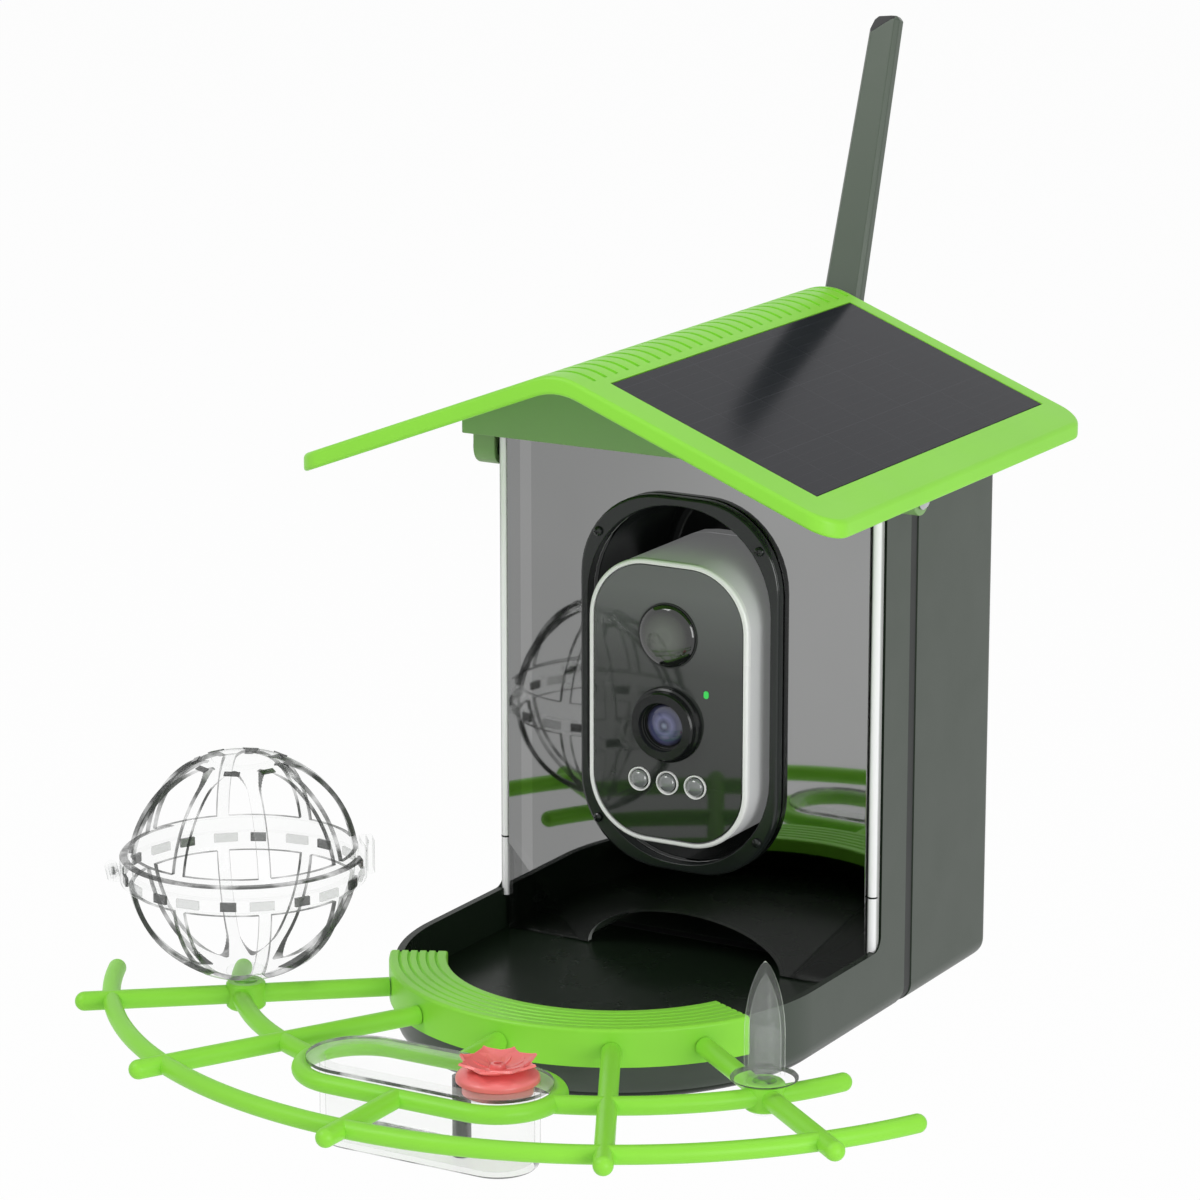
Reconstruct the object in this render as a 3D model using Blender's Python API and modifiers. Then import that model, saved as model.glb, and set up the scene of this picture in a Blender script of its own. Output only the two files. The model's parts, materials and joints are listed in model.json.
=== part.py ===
"""Camera bird feeder with a solar roof, perch frame, fruit cage, nectar cup and fruit spike.

X is to the right, Y to the back and Z up. Each shape is written in the feeder's own frame, whose
Z starts at the base and whose Y starts at the rear wall. That frame hangs from the threaded
socket in the rear wall, which is the part's origin.
"""

import math

import bmesh
import bpy
from mathutils import Matrix, Vector

# Fits
GAP = 0.0003
CUT = 0.004

# Housing
BODY_WIDTH = 0.1478
BODY_DEPTH = 0.0876
BODY_HEADROOM = 0.0159
WALL = 0.0025
REAR_DEPTH = 0.0605
SEAM_WIDTH = 0.0055
BASE_ROUND = 0.007
REAR_BASE_ROUND = 0.012
REAR_EDGE_ROUND = 0.0045
FLOOR_TOP = 0.011
FOOT_WIDTH = 0.003
SOCKET_HEIGHT = 0.110

# Seed tray
TRAY_STRAIGHT = 0.0456
TRAY_RIM = 0.0255
RIM_FILLET = 0.005

# Window
WINDOW_THICKNESS = 0.0025
EDGE_STRIP_WIDTH = 0.0033
ARCH_WIDTH = 0.075
ARCH_HEIGHT = 0.0158

# Camera bay
BAY_ROOM_BESIDE = 0.0075
BAY_ROOM_BELOW = 0.0114
BAY_ROOM_ABOVE = 0.0205
BAY_ROUND = 0.030
BAY_MOUTH_ROUND = 0.034
BAY_RIM = 0.003
BAY_WALL = 0.0016
COLLAR_THICKNESS = 0.0041

# Camera
CAMERA_WIDTH = 0.061
CAMERA_HEIGHT = 0.0985
CAMERA_DEPTH = 0.052
CAMERA_ROUND = 0.022
CAMERA_BOTTOM = 0.0551
CAMERA_PROUD = 0.0115

# Roof
ROOF_SLOPE = math.radians(21.1)
ROOF_THICKNESS = 0.0057
ROOF_SKIN = 0.0034
EAVE_OVERHANG = 0.0261
ROOF_FRONT_OVERHANG = 0.0859
ROOF_REAR_OVERHANG = 0.016
SKIRT_OVERHANG = 0.0106
SKIRT_SIDE_HEIGHT = 0.0046
SKIRT_DROP = 0.0025
SKIRT_WALL = 0.002
SKIRT_FRONT_GAP = 0.0029
SKIRT_REAR_GAP = 0.003
SOLAR_LENGTH = 0.167
SOLAR_WIDTH = 0.079
SOLAR_THICKNESS = 0.0015
GROOVE_COUNT = 27

# Roof hinge
HINGE_SETBACK = 0.0078
HINGE_DROP = 0.009
HINGE_PIN_RADIUS = 0.002
EAR_RADIUS = 0.00575
EAR_WIDTH = 0.0072

# Landing ring and perch frame
RING_WIDTH = 0.0194
RING_THICKNESS = 0.0018
RING_SPAN = math.radians(64)
RING_GROOVES = 5
PERCH_RADIUS = 0.00305
SPOKE_RADIUS = 0.0032
HOLDER_TUBE_RADIUS = 0.0030
PERCH_HEIGHT = 0.0184
OUTER_ARC_REACH = 0.092
INNER_ARC_REACH = 0.0497
SPOKE_REACH = 0.1045
SOCKET_REACH = 0.0479
SOCKET_ANGLE = math.radians(51.5)
INNER_SPOKE_ANGLE = math.radians(28.5)
SOCKET_RADIUS = 0.0065
SOCKET_LENGTH = 0.009
STEM_RADIUS = 0.0036
HOLDER_STRAIGHT = 0.0504
HOLDER_RADIUS = 0.0191
HOLDER_REACH = 0.1181

# Feeding attachments
CUP_WALL_RADIUS = 0.0133
CUP_WALL = 0.0018
CUP_DEPTH = 0.0269
CUP_FLANGE_RADIUS = 0.0176
FLOWER_RADIUS = 0.0132
FLOWER_PETALS = 8
FEED_TUBE_RADIUS = 0.003
CAGE_RADIUS = 0.0382
CAGE_LIFT = 0.0019
CAGE_WALL = 0.0018
CAGE_BAND_PROUD = 0.0023
CAGE_BAND_HEIGHT = 0.0045
CAGE_WINDOWS = 8
SPIKE_RADIUS = 0.0064
SPIKE_TIP = 0.062

# Antenna
ANTENNA_HEIGHT = 0.165
ANTENNA_SETBACK = 0.0085
ANTENNA_LEAN = math.radians(18.35)
ANTENNA_LENGTH = 0.164
ANTENNA_ROOT_WIDTH = 0.0142
ANTENNA_TIP_WIDTH = 0.0095
ANTENNA_THICKNESS = 0.006

# Places that several pieces share
HALF_WIDTH = BODY_WIDTH / 2
WINDOW_Y = -BODY_DEPTH
TRAY_Y = WINDOW_Y - TRAY_STRAIGHT
SEAM_Y = -(REAR_DEPTH + SEAM_WIDTH)
WALL_EDGE_Y = WINDOW_Y + EDGE_STRIP_WIDTH + GAP
HINGE_Y = WINDOW_Y + HINGE_SETBACK
CAMERA_Z = CAMERA_BOTTOM + CAMERA_HEIGHT / 2
BAY_WIDTH = CAMERA_WIDTH + 2 * BAY_ROOM_BESIDE
BAY_HEIGHT = CAMERA_HEIGHT + BAY_ROOM_BELOW + BAY_ROOM_ABOVE
BAY_BOTTOM = CAMERA_BOTTOM - BAY_ROOM_BELOW
BODY_HEIGHT = BAY_BOTTOM + BAY_HEIGHT + BODY_HEADROOM
HINGE_Z = BODY_HEIGHT - HINGE_DROP
RING_RADIUS = HALF_WIDTH + GAP + RING_THICKNESS
CAMERA_Y = WINDOW_Y - CAMERA_PROUD
BAY_Z = BAY_BOTTOM + BAY_HEIGHT / 2
SKIRT_HALF = HALF_WIDTH + SKIRT_OVERHANG
SKIRT_BOTTOM = BODY_HEIGHT - SKIRT_DROP
ROOF_HALF = HALF_WIDTH + EAVE_OVERHANG
ROOF_FRONT = WINDOW_Y - ROOF_FRONT_OVERHANG
UNDERSIDE_APEX = SKIRT_BOTTOM + SKIRT_SIDE_HEIGHT + SKIRT_HALF * math.tan(ROOF_SLOPE)
ROOF_APEX = UNDERSIDE_APEX + ROOF_THICKNESS / math.cos(ROOF_SLOPE)


def polar(radius, angle):
    """A point at this radius about the tray's centre; the angle runs from the front towards +X."""
    return Vector((radius * math.sin(angle), TRAY_Y - radius * math.cos(angle)))


# Tools


def clear_scene():
    for obj in list(bpy.data.objects):
        bpy.data.objects.remove(obj, do_unlink=True)


def new_collection(name, hidden=False):
    made = bpy.data.collections.new(name)
    made.hide_render = hidden
    bpy.context.scene.collection.children.link(made)
    return made


def new_material(name, colour, roughness, metallic=0, transmission=0):
    made = bpy.data.materials.new(name)
    made.use_nodes = True
    shader = made.node_tree.nodes["Principled BSDF"]
    shader.inputs["Base Color"].default_value = (*colour, 1)
    shader.inputs["Roughness"].default_value = roughness
    shader.inputs["Metallic"].default_value = metallic
    shader.inputs["Transmission Weight"].default_value = transmission
    return made


def arc(centre, radius, start, end, steps):
    """Points along an arc, its angles measured from the first axis in degrees."""
    turns = [math.radians(start + (end - start) * i / steps) for i in range(steps + 1)]
    return [(centre[0] + radius * math.cos(t), centre[1] + radius * math.sin(t)) for t in turns]


def rounded_rectangle(width, height, radius, centre=(0, 0), steps=6):
    across = width / 2 - radius
    up = height / 2 - radius
    corners = ((across, up, 0), (-across, up, 90), (-across, -up, 180), (across, -up, 270))
    points = []
    for x, y, start in corners:
        points += arc((centre[0] + x, centre[1] + y), radius, start, start + 90, steps)
    return points


def stadium(straight, radius, centre, steps=8):
    right = arc((centre[0] + straight / 2, centre[1]), radius, -90, 90, steps)
    left = arc((centre[0] - straight / 2, centre[1]), radius, 90, 270, steps)
    return right + left


def mesh_object(name, mesh):
    made = bpy.data.objects.new(name, mesh)
    WORKSHOP.objects.link(made)
    return made


def from_bmesh(name, bm):
    bmesh.ops.recalc_face_normals(bm, faces=bm.faces)
    mesh = bpy.data.meshes.new(name)
    bm.to_mesh(mesh)
    bm.free()
    return mesh_object(name, mesh)


def as_mesh(source, merge=1e-7):
    """Makes a mesh of an evaluated curve, welds its caps and removes the curve."""
    bpy.context.view_layer.update()
    graph = bpy.context.evaluated_depsgraph_get()
    mesh = bpy.data.meshes.new_from_object(source.evaluated_get(graph))
    mesh.transform(source.matrix_world)
    name = source.name
    bpy.data.objects.remove(source, do_unlink=True)
    bm = bmesh.new()
    bm.from_mesh(mesh)
    bmesh.ops.remove_doubles(bm, verts=bm.verts, dist=merge)
    bpy.data.meshes.remove(mesh)
    return from_bmesh(name, bm)


# Each matrix stands an outline, drawn flat, on the plane square to the named axis.
FACING = {
    "X": Matrix(((0, 0, 1, 0), (1, 0, 0, 0), (0, 1, 0, 0), (0, 0, 0, 1))),
    "Y": Matrix(((1, 0, 0, 0), (0, 0, -1, 0), (0, 1, 0, 0), (0, 0, 0, 1))),
    "Z": Matrix.Identity(4),
}


def prism(name, outline, low, high, axis="Z"):
    """The outline, in the other two axes, extruded from low to high along the axis."""
    curve = bpy.data.curves.new(name, "CURVE")
    curve.dimensions = "2D"
    curve.fill_mode = "BOTH"
    curve.extrude = (high - low) / 2
    spline = curve.splines.new("POLY")
    spline.points.add(len(outline) - 1)
    for point, (x, y) in zip(spline.points, outline):
        point.co = (x, y, 0, 1)
    spline.use_cyclic_u = True
    made = mesh_object(name, curve)
    middle = (low + high) / 2
    shift = {"X": (middle, 0, 0), "Y": (0, middle, 0), "Z": (0, 0, middle)}[axis]
    made.matrix_world = Matrix.Translation(shift) @ FACING[axis]
    return as_mesh(made)


def box(name, low, high):
    bm = bmesh.new()
    bmesh.ops.create_cube(bm, size=1)
    size = [b - a for a, b in zip(low, high)]
    centre = [(a + b) / 2 for a, b in zip(low, high)]
    bmesh.ops.scale(bm, vec=size, verts=bm.verts)
    bmesh.ops.translate(bm, vec=centre, verts=bm.verts)
    return from_bmesh(name, bm)


def cylinder(name, radius, start, end, sides=16):
    """A round bar from one point to another."""
    start, end = Vector(start), Vector(end)
    run = end - start
    bm = bmesh.new()
    bmesh.ops.create_cone(
        bm, cap_ends=True, segments=sides, radius1=radius, radius2=radius, depth=run.length
    )
    turn = run.to_track_quat("Z", "Y").to_matrix().to_4x4()
    bmesh.ops.transform(bm, matrix=Matrix.Translation((start + end) / 2) @ turn, verts=bm.verts)
    return from_bmesh(name, bm)


def turned(name, profile, foot, axis="Z", steps=20):
    """A Screw of the profile, its (radius, height) points listed down the outer side from the top."""
    bm = bmesh.new()
    rings = [bm.verts.new((radius, 0, height)) for radius, height in profile]
    for one, other in zip(rings, rings[1:] + rings[:1]):
        if one.co.x > 0 or other.co.x > 0:
            bm.edges.new((one, other))
    mesh = bpy.data.meshes.new(name)
    bm.to_mesh(mesh)
    bm.free()
    made = mesh_object(name, mesh)
    screw = made.modifiers.new("turn", "SCREW")
    screw.steps = steps
    screw.render_steps = steps
    screw.use_merge_vertices = True
    screw.merge_threshold = 1e-6
    stand = {"X": (0, 90), "Y": (-90, 0), "-Y": (90, 0), "Z": (0, 0)}[axis]
    bpy.context.view_layer.update()
    graph = bpy.context.evaluated_depsgraph_get()
    solid = bpy.data.meshes.new_from_object(made.evaluated_get(graph))
    bpy.data.objects.remove(made, do_unlink=True)
    bm = bmesh.new()
    bm.from_mesh(solid)
    bmesh.ops.remove_doubles(bm, verts=bm.verts, dist=1e-7)
    place = Matrix.Translation(foot) @ Matrix.Rotation(math.radians(stand[0]), 4, "X")
    turn = Matrix.Rotation(math.radians(stand[1]), 4, "Y")
    bmesh.ops.transform(bm, matrix=place @ turn, verts=bm.verts)
    bpy.data.meshes.remove(solid)
    return from_bmesh(name, bm)


def tube(name, points, radius, resolution=1, ends=None, cyclic=False):
    """A round bar along the points; ends gives each point's share of the radius."""
    curve = bpy.data.curves.new(name, "CURVE")
    curve.dimensions = "3D"
    curve.bevel_depth = radius
    curve.bevel_resolution = resolution
    curve.use_fill_caps = True
    spline = curve.splines.new("POLY")
    spline.points.add(len(points) - 1)
    for index, (point, place) in enumerate(zip(spline.points, points)):
        point.co = (*place, 1)
        point.radius = ends[index] if ends else 1
    spline.use_cyclic_u = cyclic
    return as_mesh(mesh_object(name, curve))


# Pieces with faces that nearly coincide, which the exact solver leaves open
CLOSE_FITTING = ("front_body", "perch_frame", "flower_port", "cage_bowl", "cage_lid")


def combine(target, other, operation):
    """Keeps a live Boolean on the target and puts the other piece away with the cutters."""
    WORKSHOP.objects.unlink(other)
    CUTTERS.objects.link(other)
    other.hide_render = True
    other.display_type = "WIRE"
    made = target.modifiers.new(other.name, "BOOLEAN")
    made.operation = operation
    made.object = other
    made.solver = "MANIFOLD" if target.name in CLOSE_FITTING else "EXACT"
    return target


def cut(target, *others):
    for other in others:
        combine(target, other, "DIFFERENCE")
    return target


def join(target, *others):
    for other in others:
        combine(target, other, "UNION")
    return target


def round_edges(target, width, chosen, segments=2):
    """Bevels the edges whose two ends both pass the test."""
    bm = bmesh.new()
    bm.from_mesh(target.data)
    edges = [edge for edge in bm.edges if all(chosen(vert.co) for vert in edge.verts)]
    bmesh.ops.bevel(
        bm, geom=edges, offset=width, segments=segments, profile=0.5, affect="EDGES",
        offset_type="OFFSET", clamp_overlap=True,
    )
    bm.to_mesh(target.data)
    bm.free()
    return target


def near(value, other):
    return abs(value - other) < GAP / 10


def hang(piece, parent):
    """Parents a piece, and the cutters that shape it, to the empty that carries it."""
    piece.parent = parent
    piece.matrix_parent_inverse = Matrix.Translation(-Vector(parent["place"]))
    for modifier in piece.modifiers:
        if modifier.type == "BOOLEAN":
            hang(modifier.object, parent)


def finish(piece, material, parent):
    """Puts a finished piece in the feeder with its material."""
    WORKSHOP.objects.unlink(piece)
    FEEDER.objects.link(piece)
    piece.data.materials.clear()
    piece.data.materials.append(material)
    piece.data.shade_smooth()
    piece.data.set_sharp_from_angle(angle=SMOOTH_BELOW)
    hang(piece, parent)
    return piece


def carrier(name, place=(0, 0, 0), parent=None):
    """An empty on a joint's axis, or the frame that everything hangs from."""
    made = bpy.data.objects.new(name, None)
    FEEDER.objects.link(made)
    made["place"] = tuple(place)
    if parent is None:
        made.location = (0, 0, -SOCKET_HEIGHT)
    else:
        made.parent = parent
        made.location = Vector(place) - Vector(parent["place"])
    return made


SMOOTH_BELOW = math.radians(32)
clear_scene()
FEEDER = new_collection("bird_feeder")
WORKSHOP = new_collection("workshop")
CUTTERS = new_collection("cutters", hidden=True)

# Housing


def tray_outline(inset, back):
    """The D of the tray and the straight walls behind it, drawn inwards by the inset."""
    half = HALF_WIDTH - inset
    front = arc((0, TRAY_Y), half, 180, 360, 24)
    return [(-half, back), *front, (half, back)]


def body_section(inset, top):
    """The housing seen from the front: straight sides and rounded lower corners."""
    half = HALF_WIDTH - inset
    round_off = BASE_ROUND
    left = arc((-half + round_off, round_off), round_off, 180, 270, 4)
    right = arc((half - round_off, round_off), round_off, 270, 360, 4)
    return [(-half, top), *left, *right, (half, top)]


PIN_BOSS_RADIUS = 0.004
PIN_BOSS_LENGTH = SKIRT_HALF - EAR_WIDTH - HALF_WIDTH - GAP
TOWER_RADIUS = 0.004
TOWER_LOW = 0.0175
TOWER_TOP_DROP = 0.012
TOWER_X = HALF_WIDTH - WALL - TOWER_RADIUS + GAP * 3
TOWER_HEAD_RADIUS = 0.0028
TOWER_SHANK_RADIUS = 0.0016
TOWER_SHELF = 0.010
FRONT_BOSS_LENGTH = 0.008
TOWERS = [
    (x, z) for z in (TOWER_LOW, BODY_HEIGHT - TOWER_TOP_DROP) for x in (-TOWER_X, TOWER_X)
]
PEG_RADIUS = 0.0022
SPOKE_ANGLES = (-SOCKET_ANGLE, -INNER_SPOKE_ANGLE, 0, INNER_SPOKE_ANGLE, SOCKET_ANGLE)
RIM_UNDER_RING = TRAY_RIM - RING_THICKNESS
STRIP_INSET = 0.0008
STRIP_OUTSIDE = HALF_WIDTH - STRIP_INSET
STRIP_BOTTOM = TRAY_RIM - RIM_FILLET / 2


def make_front_body():
    """The D-shaped tray with its rim, its floor on a hollow foot, and the two side walls."""
    body = prism("front_body", tray_outline(0, SEAM_Y), 0, BODY_HEIGHT)
    round_edges(body, BASE_ROUND, lambda co: near(co.z, 0) and co.y < SEAM_Y + CUT)
    room = prism("tray_room", tray_outline(WALL, SEAM_Y + CUT), FLOOR_TOP, BODY_HEIGHT + CUT)
    hollow_inset = BASE_ROUND + FOOT_WIDTH
    hollow = prism(
        "tray_foot", tray_outline(hollow_inset, SEAM_Y - FOOT_WIDTH), -CUT, FLOOR_TOP - WALL
    )
    corner = arc((WALL_EDGE_Y - RIM_FILLET, TRAY_RIM + RIM_FILLET), RIM_FILLET, 270, 360, 5)
    front = TRAY_Y - HALF_WIDTH - CUT
    outline = [(front, TRAY_RIM), *corner, (WALL_EDGE_Y, BODY_HEIGHT + CUT)]
    outline.append((front, BODY_HEIGHT + CUT))
    above_rim = prism("above_rim", outline, -HALF_WIDTH - CUT, HALF_WIDTH + CUT, "X")
    cut(body, room, hollow, above_rim)
    span = math.degrees(RING_SPAN) + GAP / HALF_WIDTH
    outer = arc((0, TRAY_Y), HALF_WIDTH + CUT, 270 - span, 270 + span, 24)
    inner = arc((0, TRAY_Y), HALF_WIDTH - WALL - CUT, 270 + span, 270 - span, 24)
    cut(body, prism("ring_seat", outer + inner, RIM_UNDER_RING - GAP, TRAY_RIM + CUT))
    for side in (-1, 1):
        low, high = sorted((side * (HALF_WIDTH - WALL - CUT), side * (STRIP_OUTSIDE + GAP)))
        bottom = STRIP_BOTTOM - GAP
        seat = box("strip_seat", (low, WINDOW_Y - GAP, bottom), (high, WALL_EDGE_Y, BODY_HEIGHT))
        cut(body, seat)
        reach = side * (HALF_WIDTH + PIN_BOSS_LENGTH)
        root = side * (HALF_WIDTH - WALL / 2)
        place = (HINGE_Y, HINGE_Z)
        join(body, cylinder("pin_boss", PIN_BOSS_RADIUS, (root, *place), (reach, *place)))
        bore = HINGE_PIN_RADIUS + GAP
        start, end = side * (HALF_WIDTH - WALL - CUT), reach + side * CUT
        cut(body, cylinder("pin_bore", bore, (start, *place), (end, *place)))
    for x, z in TOWERS:
        start, end = (x, SEAM_Y - GAP, z), (x, SEAM_Y - FRONT_BOSS_LENGTH, z)
        join(body, cylinder("boss", TOWER_RADIUS, start, end, 12))
        depth = SEAM_Y - FRONT_BOSS_LENGTH + WALL
        cut(body, cylinder("pilot", TOWER_SHANK_RADIUS, (x, SEAM_Y + CUT, z), (x, depth, z), 10))
    for angle in SPOKE_ANGLES:
        start = (*polar(HALF_WIDTH - WALL - CUT, angle), PERCH_HEIGHT)
        end = (*polar(HALF_WIDTH + CUT, angle), PERCH_HEIGHT)
        cut(body, cylinder("peg_bore", PEG_RADIUS + GAP, start, end, 12))
    return body


INSERT_RADIUS = 0.004
INSERT_BORE = 0.003
INSERT_LENGTH = 0.010
INSERT_BOSS_RADIUS = 0.0075
CONNECTOR_RADIUS = 0.0032


def make_rear_housing():
    """The rear half of the hopper, with screw towers, the socket's boss and the aerial's hole."""
    front = -REAR_DEPTH
    shell = prism("rear_housing", body_section(0, BODY_HEIGHT), front, 0, "Y")
    round_edges(shell, REAR_EDGE_ROUND, lambda co: near(co.y, 0), 3)
    lower = arc((-REAR_BASE_ROUND, REAR_BASE_ROUND), REAR_BASE_ROUND, 270, 360, 5)
    top = BODY_HEIGHT + CUT
    outline = [(front - CUT, 0), *lower, (0, top), (front - CUT, top)]
    side = prism("rear_profile", outline, -HALF_WIDTH - CUT, HALF_WIDTH + CUT, "X")
    combine(shell, side, "INTERSECT")
    inner = HALF_WIDTH - WALL
    cut(shell, box("hopper_room", (-inner, front - CUT, FLOOR_TOP), (inner, -WALL, top)))
    foot = HALF_WIDTH - BASE_ROUND - FOOT_WIDTH
    behind = -REAR_BASE_ROUND - FOOT_WIDTH
    low = (-foot, front + FOOT_WIDTH, -CUT)
    cut(shell, box("rear_foot", low, (foot, behind, FLOOR_TOP - WALL)))
    for x, z in TOWERS:
        join(shell, cylinder("tower", TOWER_RADIUS, (x, front, z), (x, -WALL / 2, z), 12))
        shelf = front + TOWER_SHELF
        cut(
            shell,
            cylinder("head_bore", TOWER_HEAD_RADIUS, (x, shelf, z), (x, CUT, z), 12),
            cylinder("shank_bore", TOWER_SHANK_RADIUS, (x, front - CUT, z), (x, shelf + CUT, z), 10),
        )
    depth = -WALL - INSERT_LENGTH
    boss = [(0, y, SOCKET_HEIGHT) for y in (-WALL / 2, depth)]
    join(shell, cylinder("insert_boss", INSERT_BOSS_RADIUS, *boss))
    insert = [(0, y, SOCKET_HEIGHT) for y in (CUT, -INSERT_LENGTH - GAP)]
    aerial = [(0, y, ANTENNA_HEIGHT) for y in (CUT, -WALL - CUT)]
    cut(
        shell,
        cylinder("insert_bore", INSERT_RADIUS + GAP, *insert),
        cylinder("aerial_bore", CONNECTOR_RADIUS + GAP, *aerial),
    )
    return shell


def make_rear_insert():
    outside = [(INSERT_RADIUS, 0), (INSERT_RADIUS, -INSERT_LENGTH)]
    bore = [(INSERT_BORE, -INSERT_LENGTH), (INSERT_BORE, 0)]
    return turned("rear_insert", outside + bore, (0, 0, SOCKET_HEIGHT), "Y")


GASKET_RECESS = 0.0004
GASKET_INNER_INSET = 0.0022


def make_seam_gasket():
    """The band between the two halves, a touch inside their outer faces."""
    low, high = SEAM_Y + GAP, -REAR_DEPTH - GAP
    outer = body_section(GASKET_RECESS, BODY_HEIGHT - GASKET_RECESS)
    band = prism("seam_gasket", outer, low, high, "Y")
    inner = HALF_WIDTH - GASKET_INNER_INSET
    return cut(band, box("band_room", (-inner, low - CUT, FLOOR_TOP), (inner, high + CUT, BODY_HEIGHT)))


SCREW_HEAD_HEIGHT = 0.002
HOUSING_SCREW_SHANK = 0.0013


def screw(name, head_radius, shank_radius, seat, tip, sides=10):
    """A screw along the line from its tip to its seat, with a domed head beyond the seat."""
    seat, tip = Vector(seat), Vector(tip)
    away = (seat - tip).normalized()
    head = cylinder(name, head_radius, seat, seat + away * SCREW_HEAD_HEIGHT, sides)
    round_edges(head, SCREW_HEAD_HEIGHT / 3, lambda co: (co - seat).dot(away) > SCREW_HEAD_HEIGHT / 2, 1)
    return join(head, cylinder("shank", shank_radius, seat + away * GAP, tip, sides))


def make_housing_screw(number, x, z):
    seat = -REAR_DEPTH + TOWER_SHELF + GAP
    tip = SEAM_Y - FRONT_BOSS_LENGTH + WALL + GAP
    radius = TOWER_HEAD_RADIUS - GAP
    return screw(f"housing_screw_{number}", radius, HOUSING_SCREW_SHANK, (x, seat, z), (x, tip, z))


# Window and hopper

COLLAR_SCREW_IN = 0.0072
COLLAR_SCREW_UP = 0.0149
COLLAR_SCREW_HEAD = 0.0016
COLLAR_SCREW_SHANK = 0.001
BAY_FLANGE = 0.0025
COLLAR_SCREWS = [
    (x * (BAY_WIDTH / 2 - COLLAR_SCREW_IN), BAY_Z + z * (BAY_HEIGHT / 2 - COLLAR_SCREW_UP))
    for z in (-1, 1) for x in (-1, 1)
]
MOUTH_WIDTH = BAY_WIDTH - 2 * BAY_RIM
MOUTH_HEIGHT = BAY_HEIGHT - 2 * BAY_RIM


def mouth_outline(grow=0):
    return rounded_rectangle(
        MOUTH_WIDTH + 2 * grow, MOUTH_HEIGHT + 2 * grow, BAY_MOUTH_ROUND + grow, (0, BAY_Z)
    )


def make_window_panel():
    half = STRIP_OUTSIDE - EDGE_STRIP_WIDTH - GAP
    back = WINDOW_Y + WINDOW_THICKNESS
    low = FLOOR_TOP + GAP
    rise = (1, ARCH_HEIGHT / (ARCH_WIDTH / 2))
    arch = [(x * rise[0], low + y * rise[1]) for x, y in arc((0, 0), ARCH_WIDTH / 2, 0, 180, 20)]
    outline = [(-half, low), *reversed(arch), (half, low), (half, BODY_HEIGHT), (-half, BODY_HEIGHT)]
    panel = prism("window_panel", outline, WINDOW_Y, back, "Y")
    cut(panel, prism("mouth_hole", mouth_outline(GAP), WINDOW_Y - CUT, back + CUT, "Y"))
    for x, z in COLLAR_SCREWS:
        start, end = (x, WINDOW_Y - CUT, z), (x, back + CUT, z)
        cut(panel, cylinder("screw_hole", COLLAR_SCREW_SHANK + GAP, start, end, 10))
    return panel


def make_window_edge(name, side):
    """A clear strip with a half-round front, in front of a side wall's edge."""
    middle = STRIP_OUTSIDE - EDGE_STRIP_WIDTH / 2
    radius = EDGE_STRIP_WIDTH / 2
    centre_y = WINDOW_Y + radius
    front = arc((side * middle, centre_y), radius, 180, 360, 6)
    back = WINDOW_Y + EDGE_STRIP_WIDTH
    outline = [(side * middle - radius, back), *front, (side * middle + radius, back)]
    return prism(name, outline, STRIP_BOTTOM, BODY_HEIGHT)


FUNNEL_WALL = 0.0015
FUNNEL_TOP = 0.0430
FUNNEL_MOUTH_WIDTH = 0.082
FUNNEL_MOUTH_DEPTH = 0.048


def make_seed_funnel():
    """Two side ramps and a rear ramp that bring the seed to the arch, thickened inwards."""
    half = HALF_WIDTH - WALL - GAP
    front = WALL_EDGE_Y
    back = -WALL - GAP
    low = FLOOR_TOP + GAP
    mouth = FUNNEL_MOUTH_WIDTH / 2
    mouth_back = front + FUNNEL_MOUTH_DEPTH
    bm = bmesh.new()
    upper = [(-half, front), (-half, back), (half, back), (half, front)]
    lower = [(-mouth, front), (-mouth, mouth_back), (mouth, mouth_back), (mouth, front)]
    top = [bm.verts.new((*place, FUNNEL_TOP)) for place in upper]
    foot = [bm.verts.new((*place, low)) for place in lower]
    for i in range(3):
        bm.faces.new((top[i], top[i + 1], foot[i + 1], foot[i]))
    funnel = from_bmesh("seed_funnel", bm)
    solid = funnel.modifiers.new("wall", "SOLIDIFY")
    solid.thickness = FUNNEL_WALL
    solid.offset = -1
    solid.use_even_offset = True
    return funnel


# Camera bay

BRACKET_PLATE = 0.002
BRACKET_HALF = 0.011
EYE_RADIUS = 0.0035
TILT_PIN_RADIUS = 0.0015
TONGUE_HALF = 0.0045
BRACKET_EAR = 0.0025
TILT_SETBACK = 0.0066
TILT_Y = CAMERA_Y + CAMERA_DEPTH + TILT_SETBACK
BRACKET_Y = TILT_Y + EYE_RADIUS + 2 * GAP
BAY_BACK_Y = BRACKET_Y + BRACKET_PLATE + GAP
COLLAR_EDGE_ROUND = 0.0012


def bay_outline(shrink=0):
    width = BAY_WIDTH - 2 * shrink
    height = BAY_HEIGHT - 2 * shrink
    return rounded_rectangle(width, height, BAY_ROUND - shrink, (0, BAY_Z))


def make_camera_collar():
    back = WINDOW_Y - GAP
    front = back - COLLAR_THICKNESS
    ring = prism("camera_collar", bay_outline(), front, back, "Y")
    round_edges(ring, COLLAR_EDGE_ROUND, lambda co: near(co.y, front), 1)
    cut(ring, prism("collar_mouth", mouth_outline(), front - CUT, back + CUT, "Y"))
    for x, z in COLLAR_SCREWS:
        bore = COLLAR_SCREW_SHANK + GAP
        cut(ring, cylinder("collar_bore", bore, (x, front - CUT, z), (x, back + CUT, z), 10))
    return ring


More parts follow.
